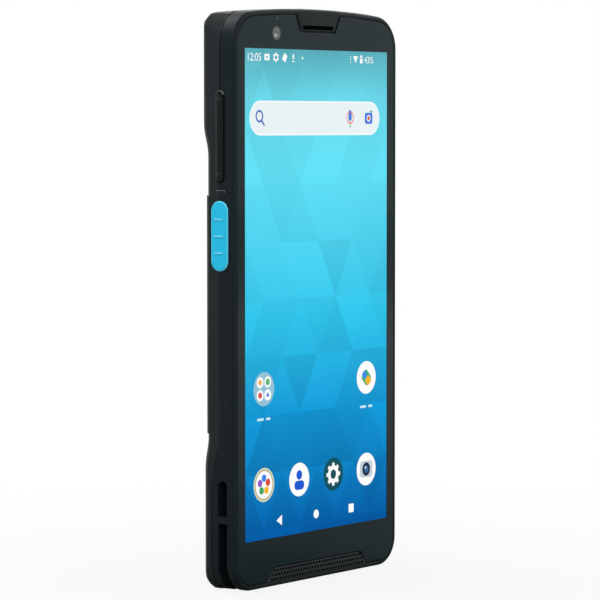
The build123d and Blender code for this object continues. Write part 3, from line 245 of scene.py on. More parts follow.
def moulded(name, colour, roughness=0.5, sheen=0.25, grain=0.22, relief=0.012, shade=None):
    """Injection-moulded plastic: fine eroded grain, a faint drift in colour and gloss, and painted
    shade in black where a shade mask is given.
    """
    finish = Finish(name, Specular_IOR_Level=sheen)
    drift = finish.noise(14.0)
    speckle = finish.noise(grain, 3.0)
    surface = finish.mix(drift * 0.7 + speckle * 0.3, dimmed(colour, 0.82), colour)
    if shade:
        surface = finish.mix(shade(*finish.axes()), surface, BLACK)
    finish.feed("Base Color", surface)
    finish.feed("Roughness", roughness - 0.06 + drift * 0.08 + speckle * 0.05)
    finish.bump(speckle, relief)
    return finish.material


def finish_node(name, material):
    """Gives a CAD node its material."""
    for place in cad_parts[name].material_slots:
        place.material = material


def placed(name, mesh, material):
    """An object at the origin that shows a mesh in one material."""
    mesh.materials.clear()
    mesh.materials.append(material)
    piece = bpy.data.objects.new(name, mesh)
    bpy.context.scene.collection.objects.link(piece)
    return piece


def refined(node, material, body="chassis", edge=0.0):
    """Welded, smooth-shaded copy of a CAD node, with its sharp edges eased, that stands for it."""
    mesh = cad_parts[node].data.copy()
    bm = bmesh.new()
    bm.from_mesh(mesh)
    bmesh.ops.remove_doubles(bm, verts=bm.verts, dist=WELD)
    bmesh.ops.dissolve_limit(
        bm, angle_limit=FLAT_ANGLE, verts=bm.verts, edges=bm.edges, delimit={"NORMAL"}
    )
    bm.to_mesh(mesh)
    bm.free()
    mesh.shade_smooth()
    mesh.set_sharp_from_angle(angle=SMOOTH_ANGLE)
    piece = placed(node + "_shell", mesh, material)
    if edge:
        ease = piece.modifiers.new("eased edges", "BEVEL")
        ease.width = edge * MM
        ease.segments = 2
        ease.limit_method = "ANGLE"
        ease.angle_limit = SMOOTH_ANGLE
        ease.use_clamp_overlap = True
    weigh = piece.modifiers.new("flat faces stay flat", "WEIGHTED_NORMAL")
    weigh.keep_sharp = True
    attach(piece, body)
    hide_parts(node)


def tongue_painted_shade(x, y, z):
    """1 in the earpiece slot and on the tongue's left shoulder, where shade is painted black."""
    above = z / MM - (TOP / MM - TONGUE_DROP)
    sunk = (y > deep(SKIN)) * (y < deep(SLOT_DEPTH)) * (abs(x) < (SLOT_HALF + MARGIN) * MM)
    slot = sunk * (above > SLOT_LIP - MARGIN) * (above < SLOT_LIP + SLOT_HEIGHT + MARGIN)
    inward = x / MM + TONGUE_TIP / 2 + above * TONGUE_SLOPE
    tall = (above > -2 * MARGIN) * (above < SHOULDER_HEIGHT)
    shoulder = tall * (inward > -MARGIN) * (inward < SHOULDER_WIDTH) * (y < deep(SKIN))
    return slot.either(shoulder)


# Painted shade: the walls of the earpiece slot and a strip down the tongue's left shoulder are
# painted black.
front_plastic = moulded(
    "front_housing_plastic", srgb(19, 29, 31), roughness=0.4, sheen=0.08, shade=tongue_painted_shade
)
refined("front_housing", front_plastic)

# ---------------------------------------------------------------- rear housing
# Rear half of the body with the battery well sunk into it. Same family of plastic as the
# front, moulded with a slightly coarser grain; six screws pull it onto the front half.

rear_plastic = moulded(
    "rear_housing_plastic", srgb(28, 36, 37), roughness=0.46, sheen=0.12, grain=0.3, relief=0.016
)
refined("rear_housing", rear_plastic)

# ---------------------------------------------------------------- gasket, inserts and screws
# A silicone cord seals the parting seam. Brass inserts are melted into the front bosses,
# and blackened steel machine screws with six-sided sockets run into them from the back.

SCREW_HEAD = 1.5
SCREW_SHANK = 0.8
SCREW_TIP = 0.64
TIP_HEIGHT = 0.2
HEAD_HEIGHT = 0.8
HEAD_BEVEL = 0.15
SOCKET = 0.8
SOCKET_RIM = 0.2
SOCKET_DEPTH = 0.5
TO_BACK = Matrix.Rotation(-math.pi / 2, 4, "X")

rubber = moulded("gasket_rubber", srgb(60, 62, 62), roughness=0.7, sheen=0.2)
finish_node("housing_gasket", rubber)


def metal(name, colour, roughness=0.3, streak=0.6, relief=0.002):
    """Bare or plated metal with fine machining lines and a soft drift in gloss."""
    finish = Finish(name, Metallic=1.0)
    lines = finish.noise(streak, 4.0)
    drift = finish.noise(5.0)
    finish.feed("Base Color", finish.mix(drift, dimmed(colour, 0.8), colour))
    finish.feed("Roughness", roughness - 0.06 + lines * 0.14)
    finish.bump(lines, relief)
    return finish.material


finish_node("screw_inserts", metal("insert_brass", srgb(201, 164, 86), roughness=0.35))
screw_steel = metal("screw_steel", srgb(70, 72, 76), roughness=0.36)


def islands(name):
    """Lowest and highest corner of each separate solid in a CAD node."""
    bm = bmesh.new()
    bm.from_mesh(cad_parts[name].data)
    bmesh.ops.remove_doubles(bm, verts=bm.verts, dist=WELD)
    left = set(bm.verts)
    found = []
    while left:
        group = {left.pop()}
        open_ends = list(group)
        while open_ends:
            vert = open_ends.pop()
            for edge in vert.link_edges:
                other = edge.other_vert(vert)
                if other in left:
                    left.discard(other)
                    group.add(other)
                    open_ends.append(other)
        low = Vector(min(v.co[i] for v in group) for i in range(3))
        high = Vector(max(v.co[i] for v in group) for i in range(3))
        found.append((low, high))
    bm.free()
    return sorted(found, key=lambda pair: (round(pair[0].z, 4), round(pair[0].x, 4)))


def joined(bm, shape):
    """Adds a shape that is ready to the mesh that collects the parts of a piece."""
    mesh = bpy.data.meshes.new("shape")
    shape.to_mesh(mesh)
    shape.free()
    bm.from_mesh(mesh)
    bpy.data.meshes.remove(mesh)


def spun(profile, steps):
    """A profile of radius and height, in millimetres, spun round its axis."""
    shape = bmesh.new()
    verts = [shape.verts.new((r * MM, 0, h * MM)) for r, h in profile]
    edges = [shape.edges.new(pair) for pair in zip(verts, verts[1:])]
    bmesh.ops.spin(
        shape,
        geom=verts + edges,
        cent=(0, 0, 0),
        axis=(0, 0, 1),
        angle=math.tau,
        steps=steps,
        use_merge=True,
    )
    bmesh.ops.remove_doubles(shape, verts=shape.verts, dist=WELD)
    return shape


def finished(bm, name, material, body="chassis", replaces=(), smooth=True, outwards=True):
    """Makes a finished shape a piece that rides on a body, its faces turned outwards."""
    if outwards:
        bmesh.ops.recalc_face_normals(bm, faces=bm.faces)
    mesh = bpy.data.meshes.new(name)
    bm.to_mesh(mesh)
    bm.free()
    if smooth:
        mesh.shade_smooth()
        mesh.set_sharp_from_angle(angle=SMOOTH_ANGLE)
    piece = placed(name, mesh, material)
    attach(piece, body)
    if replaces:
        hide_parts(*replaces)


def machine_screw(length):
    """Shank, chamfered head and a six-sided socket sunk into it; the head ends at the top."""
    shape = spun(
        [
            (0, 0),
            (SCREW_TIP, 0),
            (SCREW_SHANK, TIP_HEIGHT),
            (SCREW_SHANK, length - HEAD_HEIGHT),
            (SCREW_HEAD, length - HEAD_HEIGHT),
            (SCREW_HEAD, length - HEAD_BEVEL),
            (SCREW_HEAD - HEAD_BEVEL, length),
            (SOCKET + SOCKET_RIM, length),
        ],
        steps=24,
    )
    mouth = [edge for edge in shape.edges if edge.is_boundary]
    corners = bmesh.ops.create_circle(shape, segments=6, radius=SOCKET * MM)["verts"]
    bmesh.ops.translate(shape, vec=(0, 0, length * MM), verts=corners)
    hexagon = list({edge for vert in corners for edge in vert.link_edges})
    bmesh.ops.bridge_loops(shape, edges=mouth + hexagon)
    sunk = bmesh.ops.extrude_edge_only(shape, edges=hexagon)["geom"]
    bmesh.ops.translate(
        shape,
        vec=(0, 0, -SOCKET_DEPTH * MM),
        verts=[item for item in sunk if isinstance(item, bmesh.types.BMVert)],
    )
    floor_edges = [item for item in sunk if isinstance(item, bmesh.types.BMEdge)]
    bmesh.ops.edgeloop_fill(shape, edges=[edge for edge in floor_edges if edge.is_boundary])
    return shape


bm = bmesh.new()
for low, high in islands("housing_screws"):
    shape = machine_screw((high.y - low.y) / MM)
    spot = ((low.x + high.x) / 2, low.y, (low.z + high.z) / 2)
    bmesh.ops.transform(shape, matrix=Matrix.Translation(spot) @ TO_BACK, verts=shape.verts)
    joined(bm, shape)
finished(bm, "housing_screws_turned", screw_steel, replaces=["housing_screws"])

# ---------------------------------------------------------------- display
# LCD module bonded behind the glass. Its lit area shows a plain home screen: a blue
# wallpaper of soft triangles, and flat signs without words. The rim round it is black.

LIT_WIDTH = 68.04
LIT_HEIGHT = 136.08
LIT_LOW = 13.66
PICTURE_DEPTH = 0.08
FACET_WIDTH = 17.0
FACET_HEIGHT = 16.0
CONTRAST_AT_FOOT = 0.28
CONTRAST_FALL = 0.2
CONTRAST_LEAST = 0.05

# From the foot up: deep blue, azure, cyan, pale cyan, and a duller strip behind the top row.
WALLPAPER = [
    (0.0, srgb(1, 88, 162)),
    (0.25, srgb(16, 151, 213)),
    (0.45, srgb(47, 194, 232)),
    (0.75, srgb(97, 224, 246)),
    (0.9, srgb(106, 216, 234)),
    (1.0, srgb(91, 173, 187)),
]
TO_FRONT = Matrix.Rotation(math.pi / 2, 4, "X")

panel_black = moulded("display_module", srgb(8, 8, 9), roughness=0.5, sheen=0.1)
finish_node("display_panel", panel_black)


def glowing(name):
    """A dark surface that gives light in the colour that is fed to it."""
    return Finish(
        name,
        Base_Color=(0.002, 0.002, 0.002, 1),
        Roughness=0.6,
        Specular_IOR_Level=0.0,
        Emission_Strength=1.0,
    )


lit = glowing("display")
x, y, z = lit.axes()
height = (z / MM - LIT_LOW) / LIT_HEIGHT
sky = lit.node("ShaderNodeValToRGB", {"stops": WALLPAPER}, height)
across = x / (FACET_WIDTH * MM)
up = z / (FACET_HEIGHT * MM)
rising = (across + up * 0.5).floor()
falling = (across - up * 0.5).floor()
cell = lit.node("ShaderNodeCombineXYZ", {}, up.floor(), rising, falling)
chance = lit.node("ShaderNodeTexWhiteNoise", {"noise_dimensions": "3D"}, cell)
contrast = (CONTRAST_AT_FOOT - height * CONTRAST_FALL).either(CONTRAST_LEAST)
shade = 1.0 + (chance - 0.5) * contrast
facets = lit.node("ShaderNodeCombineColor", {}, shade, shade, shade)
lit.feed("Emission Color", lit.mix(1.0, sky, facets, "MULTIPLY"))


def rectangle(width, height):
    """A flat rectangle round the origin, in millimetres."""
    shape = bmesh.new()
    bmesh.ops.create_grid(shape, x_segments=1, y_segments=1, size=0.5)
    bmesh.ops.scale(shape, vec=(width * MM, height * MM, 1), verts=shape.verts)
    return shape


bm = rectangle(LIT_WIDTH, LIT_HEIGHT)
middle = (0, deep(PICTURE_DEPTH), (LIT_LOW + LIT_HEIGHT / 2) * MM)
bmesh.ops.transform(bm, matrix=Matrix.Translation(middle) @ TO_FRONT, verts=bm.verts)
finished(bm, "display_picture", lit.material, smooth=False, outwards=False)

# ---------------------------------------------------------------- signs on the screen
# What the display shows over its wallpaper: clock and charge digits, a search field, two
# rows of round application signs and the three navigation signs, all flat and in colour.

# Layers of signs lie a step apart, and a figure stands this share of its type size tall.
SIGN_STEP = 0.004
SIGNS_MIDDLE = -0.8
FIGURE_SHARE = 0.7
STATUS_ROW = 147.4
FIELD_ROW = 130.6
UPPER_ROW = 55.6
CAPTION_ROW = 47.2
DOCK_ROW = 28.9
NAVIGATION_ROW = 18.3
COLUMNS = (-24.6, -8.1, 8.3, 24.6)
DISC_RADIUS = 4.75

WHITE = srgb(255, 255, 255)
PALE = srgb(233, 244, 249)
AMBER = srgb(248, 186, 40)
RED = srgb(226, 84, 70)
GREEN = srgb(60, 160, 90)
BLUE = srgb(66, 120, 220)
DEEP_BLUE = srgb(30, 90, 210)
DUSK_BLUE = srgb(70, 110, 190)


class Signs:
    """Flat shapes of many colours, kept in one mesh with a colour on every corner."""

    def __init__(self):
        self.bm = bmesh.new()
        self.ink = self.bm.loops.layers.float_color.new("ink")

    def lay(self, shape, colour, x, z, layer, turn=0.0):
        """Colours a new shape, stands it up on the screen and adds it to the rest."""
        ink = shape.loops.layers.float_color.new("ink")
        for face in shape.faces:
            for loop in face.loops:
                loop[ink] = colour
        ahead = PICTURE_DEPTH - (layer + 1) * SIGN_STEP
        spot = ((x + SIGNS_MIDDLE) * MM, deep(ahead), z * MM)
        spin = Matrix.Rotation(math.radians(turn), 4, "Z")
        place = Matrix.Translation(spot) @ TO_FRONT @ spin
        bmesh.ops.transform(shape, matrix=place, verts=shape.verts)
        joined(self.bm, shape)

    def round(self, radius, sides):
        """A flat disc, or a polygon of few sides."""
        shape = bmesh.new()
        bmesh.ops.create_circle(
            shape, cap_ends=True, cap_tris=False, segments=sides, radius=radius * MM
        )
        return shape

    def disc(self, x, z, radius, colour, layer=0, sides=32, turn=0.0):
        self.lay(self.round(radius, sides), colour, x, z, layer, turn)

    def ring(self, x, z, radius, width, colour, layer=0):
        shape = self.round(radius, sides=32)
        middle = list(shape.faces)
        bmesh.ops.inset_region(
            shape, faces=middle, thickness=width * MM, use_boundary=True, use_even_offset=True
        )
        bmesh.ops.delete(shape, geom=middle, context="FACES_ONLY")
        self.lay(shape, colour, x, z, layer)

    def plate(self, x, z, width, height, corner, colour, layer=0, turn=0.0):
        """A rectangle with rounded corners."""
        shape = rectangle(width, height)
        if corner:
            bmesh.ops.bevel(
                shape,
                geom=shape.verts[:],
                offset=corner * MM,
                segments=8,
                profile=0.5,
                affect="VERTICES",
                material=-1,
            )
        self.lay(shape, colour, x, z, layer, turn)

    def digits(self, text, left, z, height):
        """White figures set in the plain built-in face."""
        curve = bpy.data.curves.new("digits", "FONT")
        curve.body = text
        curve.size = height * MM / FIGURE_SHARE
        holder = bpy.data.objects.new("digits", curve)
        bpy.context.scene.collection.objects.link(holder)
        mesh = bpy.data.meshes.new_from_object(holder)
        shape = bmesh.new()
        shape.from_mesh(mesh)
        bpy.data.objects.remove(holder)
        bpy.data.curves.remove(curve)
        bpy.data.meshes.remove(mesh)
        self.lay(shape, WHITE, left, z - height / 2, 0)


def spread(x, z, radius, count):
    """Places spaced evenly on a circle, clockwise from its top, each with its angle."""
    for step in range(count):
        angle = step * math.tau / count
        yield x + radius * math.sin(angle), z + radius * math.cos(angle), angle


def clock_and_notices(signs, z):
    """Left of the status row: the time, a tile, a cog, a slanted tile, a pin and a dot."""
    tile, cog, slanted, pin, dot = -23.1, -19.0, -14.9, -10.9, -6.6
    signs.digits("12:05", -32.4, z, 2.15)
    signs.plate(tile, z, 2.3, 1.8, 0.35, WHITE)
    signs.disc(tile, z, 0.42, srgb(96, 182, 195), 1)
    signs.ring(cog, z, 1.05, 0.45, WHITE)
    for tooth_x, tooth_z, angle in spread(cog, z, 1.15, 6):
        signs.disc(tooth_x, tooth_z, 0.28, WHITE, sides=6)
    signs.plate(slanted, z, 1.7, 2.1, 0.2, WHITE, turn=-30)
    signs.plate(pin, z + 0.3, 0.7, 1.5, 0.34, WHITE)
    signs.plate(pin, z - 1.0, 1.3, 0.25, 0.1, WHITE)
    signs.disc(dot, z, 0.35, WHITE)


def reception_and_charge(signs, z):
    """Right of the status row: three dots, a fan, a half-full cell and the charge."""
    dots, fan, cell = 16.6, 19.1, 21.9
    for step in (-1, 0, 1):
        signs.disc(dots, z + step * 0.75, 0.22, WHITE, sides=8)
    signs.disc(fan, z + 0.3, 1.35, WHITE, sides=3, turn=180)
    signs.plate(cell, z, 1.25, 2.1, 0.2, WHITE)
    signs.plate(cell, z + 1.15, 0.6, 0.3, 0.0, WHITE)
    signs.plate(cell, z + 0.45, 0.55, 0.7, 0.1, srgb(104, 184, 197), 1)
    signs.digits("43%", 23.4, z, 1.9)


def search_field(signs, z):
    """A pale field with a white rim, a magnifier, a microphone and a small camera."""
    magnifier, microphone, lens = -26.6, 16.4, 25.6
    signs.plate(0, z, 62.0, 9.6, 4.75, srgb(252, 254, 255))
    signs.plate(0, z, 61.2, 8.8, 4.35, srgb(235, 244, 246), 1)
    signs.ring(magnifier, z + 0.5, 1.75, 0.55, DUSK_BLUE, 2)
    signs.plate(magnifier + 1.6, z - 1.3, 2.2, 0.6, 0.25, DUSK_BLUE, 2, turn=-45)
    signs.plate(microphone, z + 0.8, 1.5, 3.1, 0.7, BLUE, 2)
    signs.ring(microphone, z + 0.2, 1.75, 0.35, srgb(232, 120, 60), 2)
    signs.plate(microphone, z - 2.1, 0.4, 1.3, 0.1, GREEN, 2)
    signs.plate(lens, z, 3.8, 3.2, 0.8, BLUE, 2)
    signs.disc(lens, z, 1.0, PALE, 3)
    signs.disc(lens, z, 0.6, RED, 4)
    signs.plate(lens + 1.3, z + 1.9, 1.2, 0.5, 0.2, GREEN, 2)


def folder(signs, x, z):
    """Four white rounds on a pale disc, each with a shape of its own colour."""
    signs.disc(x, z, DISC_RADIUS, srgb(150, 196, 216), sides=48)
    tiles = [
        (-1.75, 1.9, srgb(240, 170, 60), 4),
        (1.75, 1.9, srgb(92, 184, 120), 32),
        (-1.75, -1.7, srgb(220, 78, 66), 6),
        (1.75, -1.7, srgb(70, 126, 224), 3),
    ]
    for right, above, colour, sides in tiles:
        signs.disc(x + right, z + above, 1.55, WHITE, 1)
        signs.disc(x + right, z + above, 0.95, colour, 2, sides=sides)


def stacked_tiles(signs, x, z):
    """Three tiles on their corners, one over another."""
    signs.disc(x, z, DISC_RADIUS, WHITE, sides=48)
    signs.plate(x, z, 3.6, 3.6, 0.5, srgb(54, 178, 120), 1, turn=45)
    signs.plate(x + 0.9, z - 0.9, 2.4, 2.4, 0.4, srgb(245, 182, 50), 2, turn=45)
    signs.plate(x - 0.9, z + 0.9, 2.0, 2.0, 0.4, srgb(62, 140, 230), 3, turn=45)


def petals(signs, x, z):
    """Five dots in a ring on a white disc with an olive rim."""
    colours = (srgb(66, 133, 230), srgb(226, 74, 60), AMBER, srgb(60, 168, 92), srgb(150, 90, 200))
    signs.disc(x, z, DISC_RADIUS, srgb(216, 218, 188), sides=48)
    signs.disc(x, z, 4.25, srgb(178, 174, 130), 1, sides=48)
    signs.disc(x, z, 3.85, WHITE, 2, sides=48)
    for colour, (dot_x, dot_z, angle) in zip(colours, spread(x, z, 1.9, len(colours))):
        signs.disc(dot_x, dot_z, 1.05, colour, 3)


def person(signs, x, z):
    """Head and shoulders in blue on a white disc."""
    signs.disc(x, z, DISC_RADIUS, WHITE, sides=48)
    signs.disc(x, z + 1.3, 1.35, DEEP_BLUE, 1)
    signs.plate(x, z - 1.6, 4.6, 2.6, 1.2, DEEP_BLUE, 1)


def gear(signs, x, z):
    """A white ring with eight square teeth on a dark green disc."""
    signs.disc(x, z, DISC_RADIUS, srgb(22, 82, 96), sides=48)
    signs.ring(x, z, 2.6, 1.25, WHITE, 1)
    for tooth_x, tooth_z, angle in spread(x, z, 2.75, 8):
        signs.plate(tooth_x, tooth_z, 1.1, 1.1, 0.15, WHITE, 1, turn=-math.degrees(angle))


def camera_sign(signs, x, z):
    """A grey body with a dark lens and its glint on a white disc."""
    signs.disc(x, z, DISC_RADIUS, WHITE, sides=48)
    signs.plate(x, z, 6.2, 4.8, 1.2, srgb(196, 208, 218), 1)
    signs.disc(x, z, 1.95, srgb(32, 44, 60), 2)
    signs.disc(x, z, 1.1, srgb(66, 104, 160), 3)
    signs.disc(x - 0.4, z + 0.5, 0.35, srgb(220, 232, 245), 4)


def caption(signs, x, z):
    """A long and a short bar where a name would stand."""
    signs.plate(x - 1.6, z, 3.0, 0.7, 0.3, srgb(205, 236, 250))
    signs.plate(x + 2.0, z, 2.0, 0.7, 0.3, srgb(205, 236, 250))


signs = Signs()
clock_and_notices(signs, STATUS_ROW)
reception_and_charge(signs, STATUS_ROW)
search_field(signs, FIELD_ROW)
folder(signs, COLUMNS[0], UPPER_ROW)
stacked_tiles(signs, COLUMNS[3], UPPER_ROW)
for column, sign in zip(COLUMNS, (petals, person, gear, camera_sign)):
    sign(signs, column, DOCK_ROW)
for column in (COLUMNS[0], COLUMNS[3]):
    caption(signs, column, CAPTION_ROW)
signs.disc(-17.1, NAVIGATION_ROW, 1.7, WHITE, sides=3, turn=90)
signs.disc(0.0, NAVIGATION_ROW, 1.25, WHITE)
signs.plate(17.1, NAVIGATION_ROW, 2.5, 2.5, 0.3, WHITE)

sign_ink = glowing("screen_signs")
painted = sign_ink.node("ShaderNodeAttribute", {"attribute_name": "ink"}, output="Color")
sign_ink.feed("Emission Color", painted)
finished(signs.bm, "screen_signs", sign_ink.material, smooth=False, outwards=False)

# ---------------------------------------------------------------- cover glass
# Chemically strengthened glass, bonded into the rim with a black adhesive frame. Its back
# is printed black all round the lit area, where it is almost clear.

GLASS_TINT = (0.003, 0.013, 0.015, 1)
GLASS_SHEEN = 0.15
CLEAR = 0.02

glass = Finish("front_glass", Base_Color=GLASS_TINT, Specular_IOR_Level=GLASS_SHEEN)
x, y, z = glass.axes()
window = (abs(x) < LIT_WIDTH / 2 * MM) * (z > LIT_LOW * MM) * (z < (LIT_LOW + LIT_HEIGHT) * MM)
glass.feed("Alpha", 1.0 - window * (1.0 - CLEAR))
glass.feed("Roughness", 0.05 + glass.noise(9.0) * 0.05)
refined("front_glass", glass.material, edge=0.08)
finish_node("glass_adhesive", moulded("adhesive", srgb(24, 24, 25), roughness=0.75))

# ---------------------------------------------------------------- front camera and light
# A small camera module looks out through the glass, behind a smoked round that shows its grey cone
# and dark lens, with a painted highlight on the lens. Above it a milky light pipe leads the
# indicator to the face.

ROUND_X = -19.6
ROUND_Z = TOP / MM - 7.15
ROUND_RADIUS = 1.95
PAINTED_GLINT_LEFT = 0.35
PAINTED_GLINT_DROP = 0.6
PAINTED_GLINT_RADIUS = 0.8
ROOT = -0.02
LAMP_X = -19.2
LAMP_Z = TOP / MM - 3.05
LAMP_RADIUS = 0.34
CONE = [
    (0.0, srgb(58, 61, 63)),
    (0.22, srgb(64, 67, 69)),
    (0.34, srgb(100, 102, 103)),
    (0.75, srgb(86, 88, 88)),
    (0.92, srgb(64, 68, 68)),
    (1.0, srgb(40, 44, 44)),
]

camera_black = moulded("camera_black", srgb(26, 27, 29), roughness=0.4, grain=0.1, relief=0.003)
finish_node("front_camera", camera_black)


def off_centre(x, z, centre_x, centre_z):
    """Distance from a point on the face or the back, in millimetres."""
    right = (x - centre_x * MM) / MM
    above = (z - centre_z * MM) / MM
    return (right * right + above * above) ** 0.5


def on_face(bm, profile, x, z, steps):
    """Adds a spun profile that stands on the face at a place in millimetres."""
    shape = spun(profile, steps)
    place = Matrix.Translation((x * MM, FACE, z * MM)) @ TO_FRONT
    bmesh.ops.transform(shape, matrix=place, verts=shape.verts)
    joined(bm, shape)


smoked = Finish("camera_round", Roughness=0.22, Specular_IOR_Level=0.3)
x, y, z = smoked.axes()
share = off_centre(x, z, ROUND_X, ROUND_Z) / ROUND_RADIUS
cone = smoked.node("ShaderNodeValToRGB", {"stops": CONE}, share)
# Painted highlight: a pale spot low on the left of the round.
glint = 1.0 - off_centre(x, z, ROUND_X - PAINTED_GLINT_LEFT, ROUND_Z - PAINTED_GLINT_DROP) / PAINTED_GLINT_RADIUS
smoked.feed("Base Color", smoked.mix(glint.either(0.0), cone, srgb(186, 188, 188)))
dome = [(0, 0.03), (0.6, 0.026), (1.3, 0.012), (ROUND_RADIUS, 0.004), (ROUND_RADIUS + 0.03, ROOT)]
bm = bmesh.new()
on_face(bm, dome, ROUND_X, ROUND_Z, steps=48)
finished(bm, "front_camera_round", smoked.material)

milky = Finish("light_pipe", Roughness=0.4, Specular_IOR_Level=0.2)
cloudy = milky.noise(0.3)
milky.feed("Base Color", milky.mix(cloudy, srgb(48, 54, 54), srgb(58, 64, 64)))
finish_node("indicator_light", milky.material)
dot = [(0, 0.006), (LAMP_RADIUS, 0.005), (LAMP_RADIUS + 0.04, ROOT)]
bm = bmesh.new()
on_face(bm, dot, LAMP_X, LAMP_Z, steps=20)
finished(bm, "indicator_round", milky.material)

# ---------------------------------------------------------------- earpiece
# Fine black acoustic cloth behind the slot in the tongue, and the receiver capsule in its
# steel can, seated behind it in the front housing.


def woven(name, colour, pitch):
    """Dull acoustic cloth: threads over and under, as relief and as shade."""
    finish = Finish(name, Roughness=0.7, Specular_IOR_Level=0.0)
    x, y, z = finish.axes()
    turn = math.tau / (pitch * MM)
    weft = (x * turn).sine()
    warp = (z * turn).sine()
    weave = (weft * warp + 1.0) * 0.5
    finish.feed("Base Color", finish.mix(weave, dimmed(colour, 0.2), colour))
    finish.bump(weave, 0.03)
    return finish.material


cloth = woven("black_mesh", srgb(9, 11, 12), 0.24)
finish_node("earpiece_mesh", cloth)
module_steel = metal("module_steel", srgb(176, 178, 180), roughness=0.38)
finish_node("earpiece_receiver", module_steel)

# ---------------------------------------------------------------- loudspeaker and grille
# Moulded grille insert at the foot of the face with three staggered rows of holes, dust
# cloth stuck behind it, and the sealed loudspeaker box that blows through the foot wall.

HOLE_ROWS = 3
HOLES_IN_TOP_ROW = 32
HOLE_PITCH = 1.32
HOLE_ROW_PITCH = 1.25
HOLE_TOP_HEIGHT = 4.5
HOLE_ROUND = 0.43
HOLE_FLOOR = 0.004
HOLE_LIP = 0.012

grille_plastic = moulded("grille_plastic", srgb(38, 44, 45), roughness=0.5, sheen=0.2)
refined("speaker_grille", grille_plastic)

# Dark woven discs on the hole mouths: the cloth behind the holes, with painted shade of the holes.
hole_cloth_and_shade = woven("grille_hole_cloth_and_shade", srgb(6, 7, 8), 0.2)
dish = [
    (0, HOLE_FLOOR),
    (HOLE_ROUND - 0.06, HOLE_FLOOR),
    (HOLE_ROUND, HOLE_LIP),
    (HOLE_ROUND + 0.03, ROOT),
]
bm = bmesh.new()
for row in range(HOLE_ROWS):
    count = HOLES_IN_TOP_ROW + row
    for step in range(count):
        hole_x = (step - (count - 1) / 2) * HOLE_PITCH
        on_face(bm, dish, hole_x, HOLE_TOP_HEIGHT - row * HOLE_ROW_PITCH, steps=14)
finished(bm, "grille_hole_rounds", hole_cloth_and_shade, smooth=False)
finish_node("speaker_mesh", cloth)
finish_node("loudspeaker", moulded("speaker_black", srgb(26, 27, 29), roughness=0.5))

# ---------------------------------------------------------------- side keys
# Moulded caps, each held by a flange inside the wall: black volume rocker with raised
# signs, black power key, and two blue scan keys with three finger ridges each. Nubs behind
# them press the dome switches of a flexible strip.

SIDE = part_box("front_housing")[1].x
rocker_low, rocker_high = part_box("volume_rocker")
ROCKER_MIDDLE = (rocker_low + rocker_high) / 2
ROCKER_CROWN = -rocker_low.x

# The rocker has painted shade on its flanks, and painted highlights behind its middle and at its
# upper tip.
ROCKER_BEVEL = 0.16
ROCKER_REAR = 0.7
ROCKER_TIP = 1.2

key_black = Finish("key_black", Specular_IOR_Level=0.07)
x, y, z = key_black.axes()
fleck = key_black.noise(0.5, 4.0)
crown_black = key_black.mix(fleck, srgb(6, 10, 11), srgb(24, 33, 34))
# Painted highlight on the crown's rear strip; the flanks are painted shade, with a painted
# highlight at the upper tip.
rear_highlight_strip = y > ROCKER_MIDDLE.y + ROCKER_REAR * MM
crown_black = key_black.mix(rear_highlight_strip, crown_black, srgb(50, 60, 60))
tip = z > rocker_high.z - ROCKER_TIP * MM
flank_shade_and_highlight = key_black.mix(tip, srgb(3, 5, 6), srgb(104, 110, 110))
flank = (abs(x) > SIDE + SKIN * MM) * (abs(x) < ROCKER_CROWN - ROCKER_BEVEL * MM)
key_black.feed("Base Color", key_black.mix(flank, crown_black, flank_shade_and_highlight))
key_black.feed("Roughness", 0.26 + fleck * 0.2)
key_black.bump(fleck, 0.02)
refined("volume_rocker", key_black.material, body="rocker", edge=0.14)
refined("power_key", key_black.material, body="power", edge=0.14)

scan_low, scan_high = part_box("scan_key_left")

# A scan key has a painted highlight behind its middle, painted highlights at its shoulder and on
# its ridges, and painted shade on its flange at the wall; these last are told by their height
# above the wall.
SCAN_REAR = 2.35
SCAN_FLANGE = 0.02
SCAN_ROOT = 0.1
SCAN_SHOULDER = 0.42
SCAN_RIDGE = 0.7

key_blue = Finish("key_blue", Specular_IOR_Level=0.16)
x, y, z = key_blue.axes()
proud = (abs(x) - SIDE) / MM
worn = key_blue.noise(4.0)
blue = key_blue.mix(worn, srgb(24, 178, 217), srgb(34, 187, 226))
rear_highlight_strip = y > (scan_low.y + scan_high.y) / 2 + SCAN_REAR * MM
blue = key_blue.mix(rear_highlight_strip, blue, srgb(72, 200, 234))
# Painted highlight on the shoulder and the ridges, then painted shade on the flange at the wall.
edges = ((proud < SCAN_SHOULDER) * (proud > SCAN_ROOT)).either(proud > SCAN_RIDGE)
blue = key_blue.mix(edges, blue, srgb(104, 208, 236))
blue = key_blue.mix(proud < SCAN_FLANGE, blue, srgb(12, 60, 92))
key_blue.feed("Base Color", blue)
key_blue.feed("Roughness", 0.36 + worn * 0.08)
key_blue.bump(key_blue.noise(0.16, 3.0), 0.005)
for side in ("left", "right"):
    node = "scan_key_" + side
    refined(node, key_blue.material, body=side + "_scan_key", edge=0.1)

SIGN_RISE = 0.05
SIGN_SIZE = 1.3
SIGN_WIDTH = 0.2
SIGN_REACH = 10.2


def raised_bar(bm, x, y, z, width, height):
    """A low bar on the outer face of a key or wall: place in metres, size in millimetres."""
    made = bmesh.ops.create_cube(bm, size=1.0)["verts"]
    bmesh.ops.scale(bm, vec=(SIGN_RISE * 2 * MM, width * MM, height * MM), verts=made)
    bmesh.ops.translate(bm, vec=(x, y, z), verts=made)


